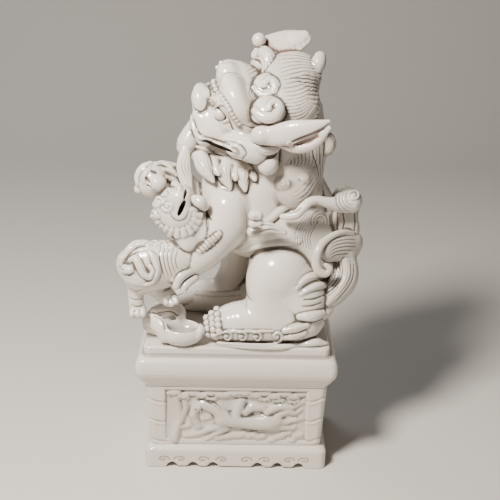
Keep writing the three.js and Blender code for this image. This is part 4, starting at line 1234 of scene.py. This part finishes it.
def glaze_material(name, base, warm, shade_and_dirt, shade_and_dirt_strength=1.0):
    """Clear glaze over porcelain. An attribute paints shade and dirt into the carving, and slow noise warms
    the body.
    """
    material = bpy.data.materials.new(name)
    material.use_nodes = True
    nodes = material.node_tree.nodes
    links = material.node_tree.links
    shader = nodes["Principled BSDF"]
    where = nodes.new("ShaderNodeTexCoord")

    # the body's colour drifts slowly from base to warm
    clouds = noise(nodes, links, where, 22.0, 3.0)
    body = nodes.new("ShaderNodeValToRGB")
    for stop, place, tint in zip(body.color_ramp.elements, (0.35, 0.68), (base, warm)):
        stop.position = place
        stop.color = (*tint, 1)
    links.new(clouds.outputs["Fac"], body.inputs["Fac"])

    # painted shade and dirt lie in the carving, broken up by a fine mottle
    depth = nodes.new("ShaderNodeAttribute")
    depth.attribute_name = "shade_and_dirt"
    mottle = noise(nodes, links, where, 160.0, 4.0)
    spread = nodes.new("ShaderNodeMath")
    spread.operation = "MULTIPLY_ADD"
    spread.inputs[1].default_value = 0.5
    spread.inputs[2].default_value = 0.75
    links.new(mottle.outputs["Fac"], spread.inputs[0])
    amount, scaled = nodes.new("ShaderNodeMath"), nodes.new("ShaderNodeMath")
    for step in (amount, scaled):
        step.operation = "MULTIPLY"
        step.use_clamp = True
    links.new(depth.outputs["Fac"], amount.inputs[0])
    links.new(spread.outputs["Value"], amount.inputs[1])
    scaled.inputs[1].default_value = shade_and_dirt_strength
    links.new(amount.outputs["Value"], scaled.inputs[0])
    colour = nodes.new("ShaderNodeMix")
    colour.data_type = "RGBA"
    colour.inputs["B"].default_value = (*shade_and_dirt, 1)
    links.new(scaled.outputs["Value"], colour.inputs["Factor"])
    links.new(body.outputs["Color"], colour.inputs["A"])
    links.new(colour.outputs["Result"], shader.inputs["Base Color"])

    # the glaze itself: a clear coat that ripples slightly
    ripple = noise(nodes, links, where, 90.0, 2.0)
    bump = nodes.new("ShaderNodeBump")
    bump.inputs["Strength"].default_value = 0.10
    bump.inputs["Distance"].default_value = 0.0012
    links.new(ripple.outputs["Fac"], bump.inputs["Height"])
    links.new(bump.outputs["Normal"], shader.inputs["Normal"])
    shader.inputs["Roughness"].default_value = 0.22
    shader.inputs["Specular IOR Level"].default_value = 0.5
    shader.inputs["Coat Weight"].default_value = 0.55
    shader.inputs["Coat Roughness"].default_value = 0.06
    return material


# body colour, its warmer patches, the colour of the painted shade and dirt in hollows, and how strong that
# is
GLAZES = {name: glaze_material(name + "_glaze", *looks) for name, *looks in (
    ("plain", (0.66, 0.615, 0.56), (0.71, 0.65, 0.585), (0.24, 0.205, 0.175), 0.7),
    ("ivory", (0.67, 0.625, 0.57), (0.72, 0.66, 0.595), (0.11, 0.092, 0.076)),
    # a darker body for pieces painted as lying in shade, and stronger painted shade and dirt in their
    # carving
    ("washed", (0.56, 0.52, 0.47), (0.61, 0.56, 0.50), (0.10, 0.085, 0.07), 1.2),
    ("pink", (0.70, 0.64, 0.59), (0.72, 0.60, 0.55), (0.16, 0.10, 0.085)),
)}


# ---- stage ----
def floor_piece():
    """A pale sheet that lies flat, bends up behind the object and stands, in metres."""
    mesh = bpy.data.meshes.new("floor")
    wide, deep, back, bend, top = 2.5, 1.6, 0.9, 0.5, 2.5
    corners = [(-wide, -deep, 0), (wide, -deep, 0)]
    steps = 10
    for i in range(steps + 1):
        turn = i / steps * math.pi / 2
        y = back + bend * math.sin(turn)
        z = bend - bend * math.cos(turn)
        corners += [(-wide, y, z), (wide, y, z)]
    corners += [(-wide, back + bend, top), (wide, back + bend, top)]
    faces = [(2 * i, 2 * i + 1, 2 * i + 3, 2 * i + 2) for i in range(len(corners) // 2 - 1)]
    mesh.from_pydata(corners, [], faces)
    mesh.shade_smooth()
    paper = bpy.data.materials.new("pale_paper")
    paper.use_nodes = True
    shader = paper.node_tree.nodes["Principled BSDF"]
    shader.inputs["Base Color"].default_value = (0.62, 0.59, 0.55, 1)
    shader.inputs["Roughness"].default_value = 0.9
    mesh.materials.append(paper)
    floor = bpy.data.objects.new("floor", mesh)
    bpy.context.scene.collection.objects.link(floor)


def area_light(name, place, target, size, power, colour):
    """A round soft light. Places are in metres and power is in watts."""
    light = bpy.data.lights.new(name, "AREA")
    light.shape = "DISK"
    light.size = size
    light.energy = power
    light.color = colour
    holder = bpy.data.objects.new(name, light)
    holder.location = place
    aim = Vector(target) - Vector(place)
    holder.rotation_euler = aim.to_track_quat("-Z", "Y").to_euler()
    bpy.context.scene.collection.objects.link(holder)


def lights():
    """A warm key from above the head's side, a weak fill and a cool rim, in a dim room."""
    target = (0, 0, 0.2)
    area_light("key", (-0.34, -0.46, 0.80), (0, 0, 0.3), 0.2, 20, (1.0, 0.93, 0.83))
    area_light("fill", (0.9, -1.1, 0.5), target, 0.9, 1.5, (1.0, 0.98, 0.96))
    area_light("rim", (-0.9, 0.9, 1.1), target, 0.8, 5, (0.96, 0.98, 1.0))
    world = bpy.data.worlds.new("soft_room")
    world.use_nodes = True
    world.node_tree.nodes["Background"].inputs["Color"].default_value = (0.80, 0.80, 0.82, 1)
    world.node_tree.nodes["Background"].inputs["Strength"].default_value = 0.09
    bpy.context.scene.world = world


def camera():
    """The hand-held camera, turned by YAW, PITCH and ROLL."""
    forward = np.array([
        math.sin(YAW) * math.cos(PITCH),
        math.cos(YAW) * math.cos(PITCH),
        -math.sin(PITCH),
    ])
    level = np.array([math.cos(YAW), -math.sin(YAW), 0.0])
    upright = np.cross(level, forward)
    right = level * math.cos(ROLL) + upright * math.sin(ROLL)
    up = -level * math.sin(ROLL) + upright * math.cos(ROLL)
    turn = Matrix([[right[i], up[i], -forward[i]] for i in range(3)]).to_4x4()
    lens = bpy.data.cameras.new("camera")
    lens.lens = LENS
    lens.sensor_width = SENSOR
    holder = bpy.data.objects.new("camera", lens)
    holder.matrix_world = Matrix.Translation(Vector(CENTRE + EYE * MM)) @ turn
    bpy.context.scene.collection.objects.link(holder)
    bpy.context.scene.camera = holder


build_plinth()
build_figure()
floor_piece()
lights()
camera()
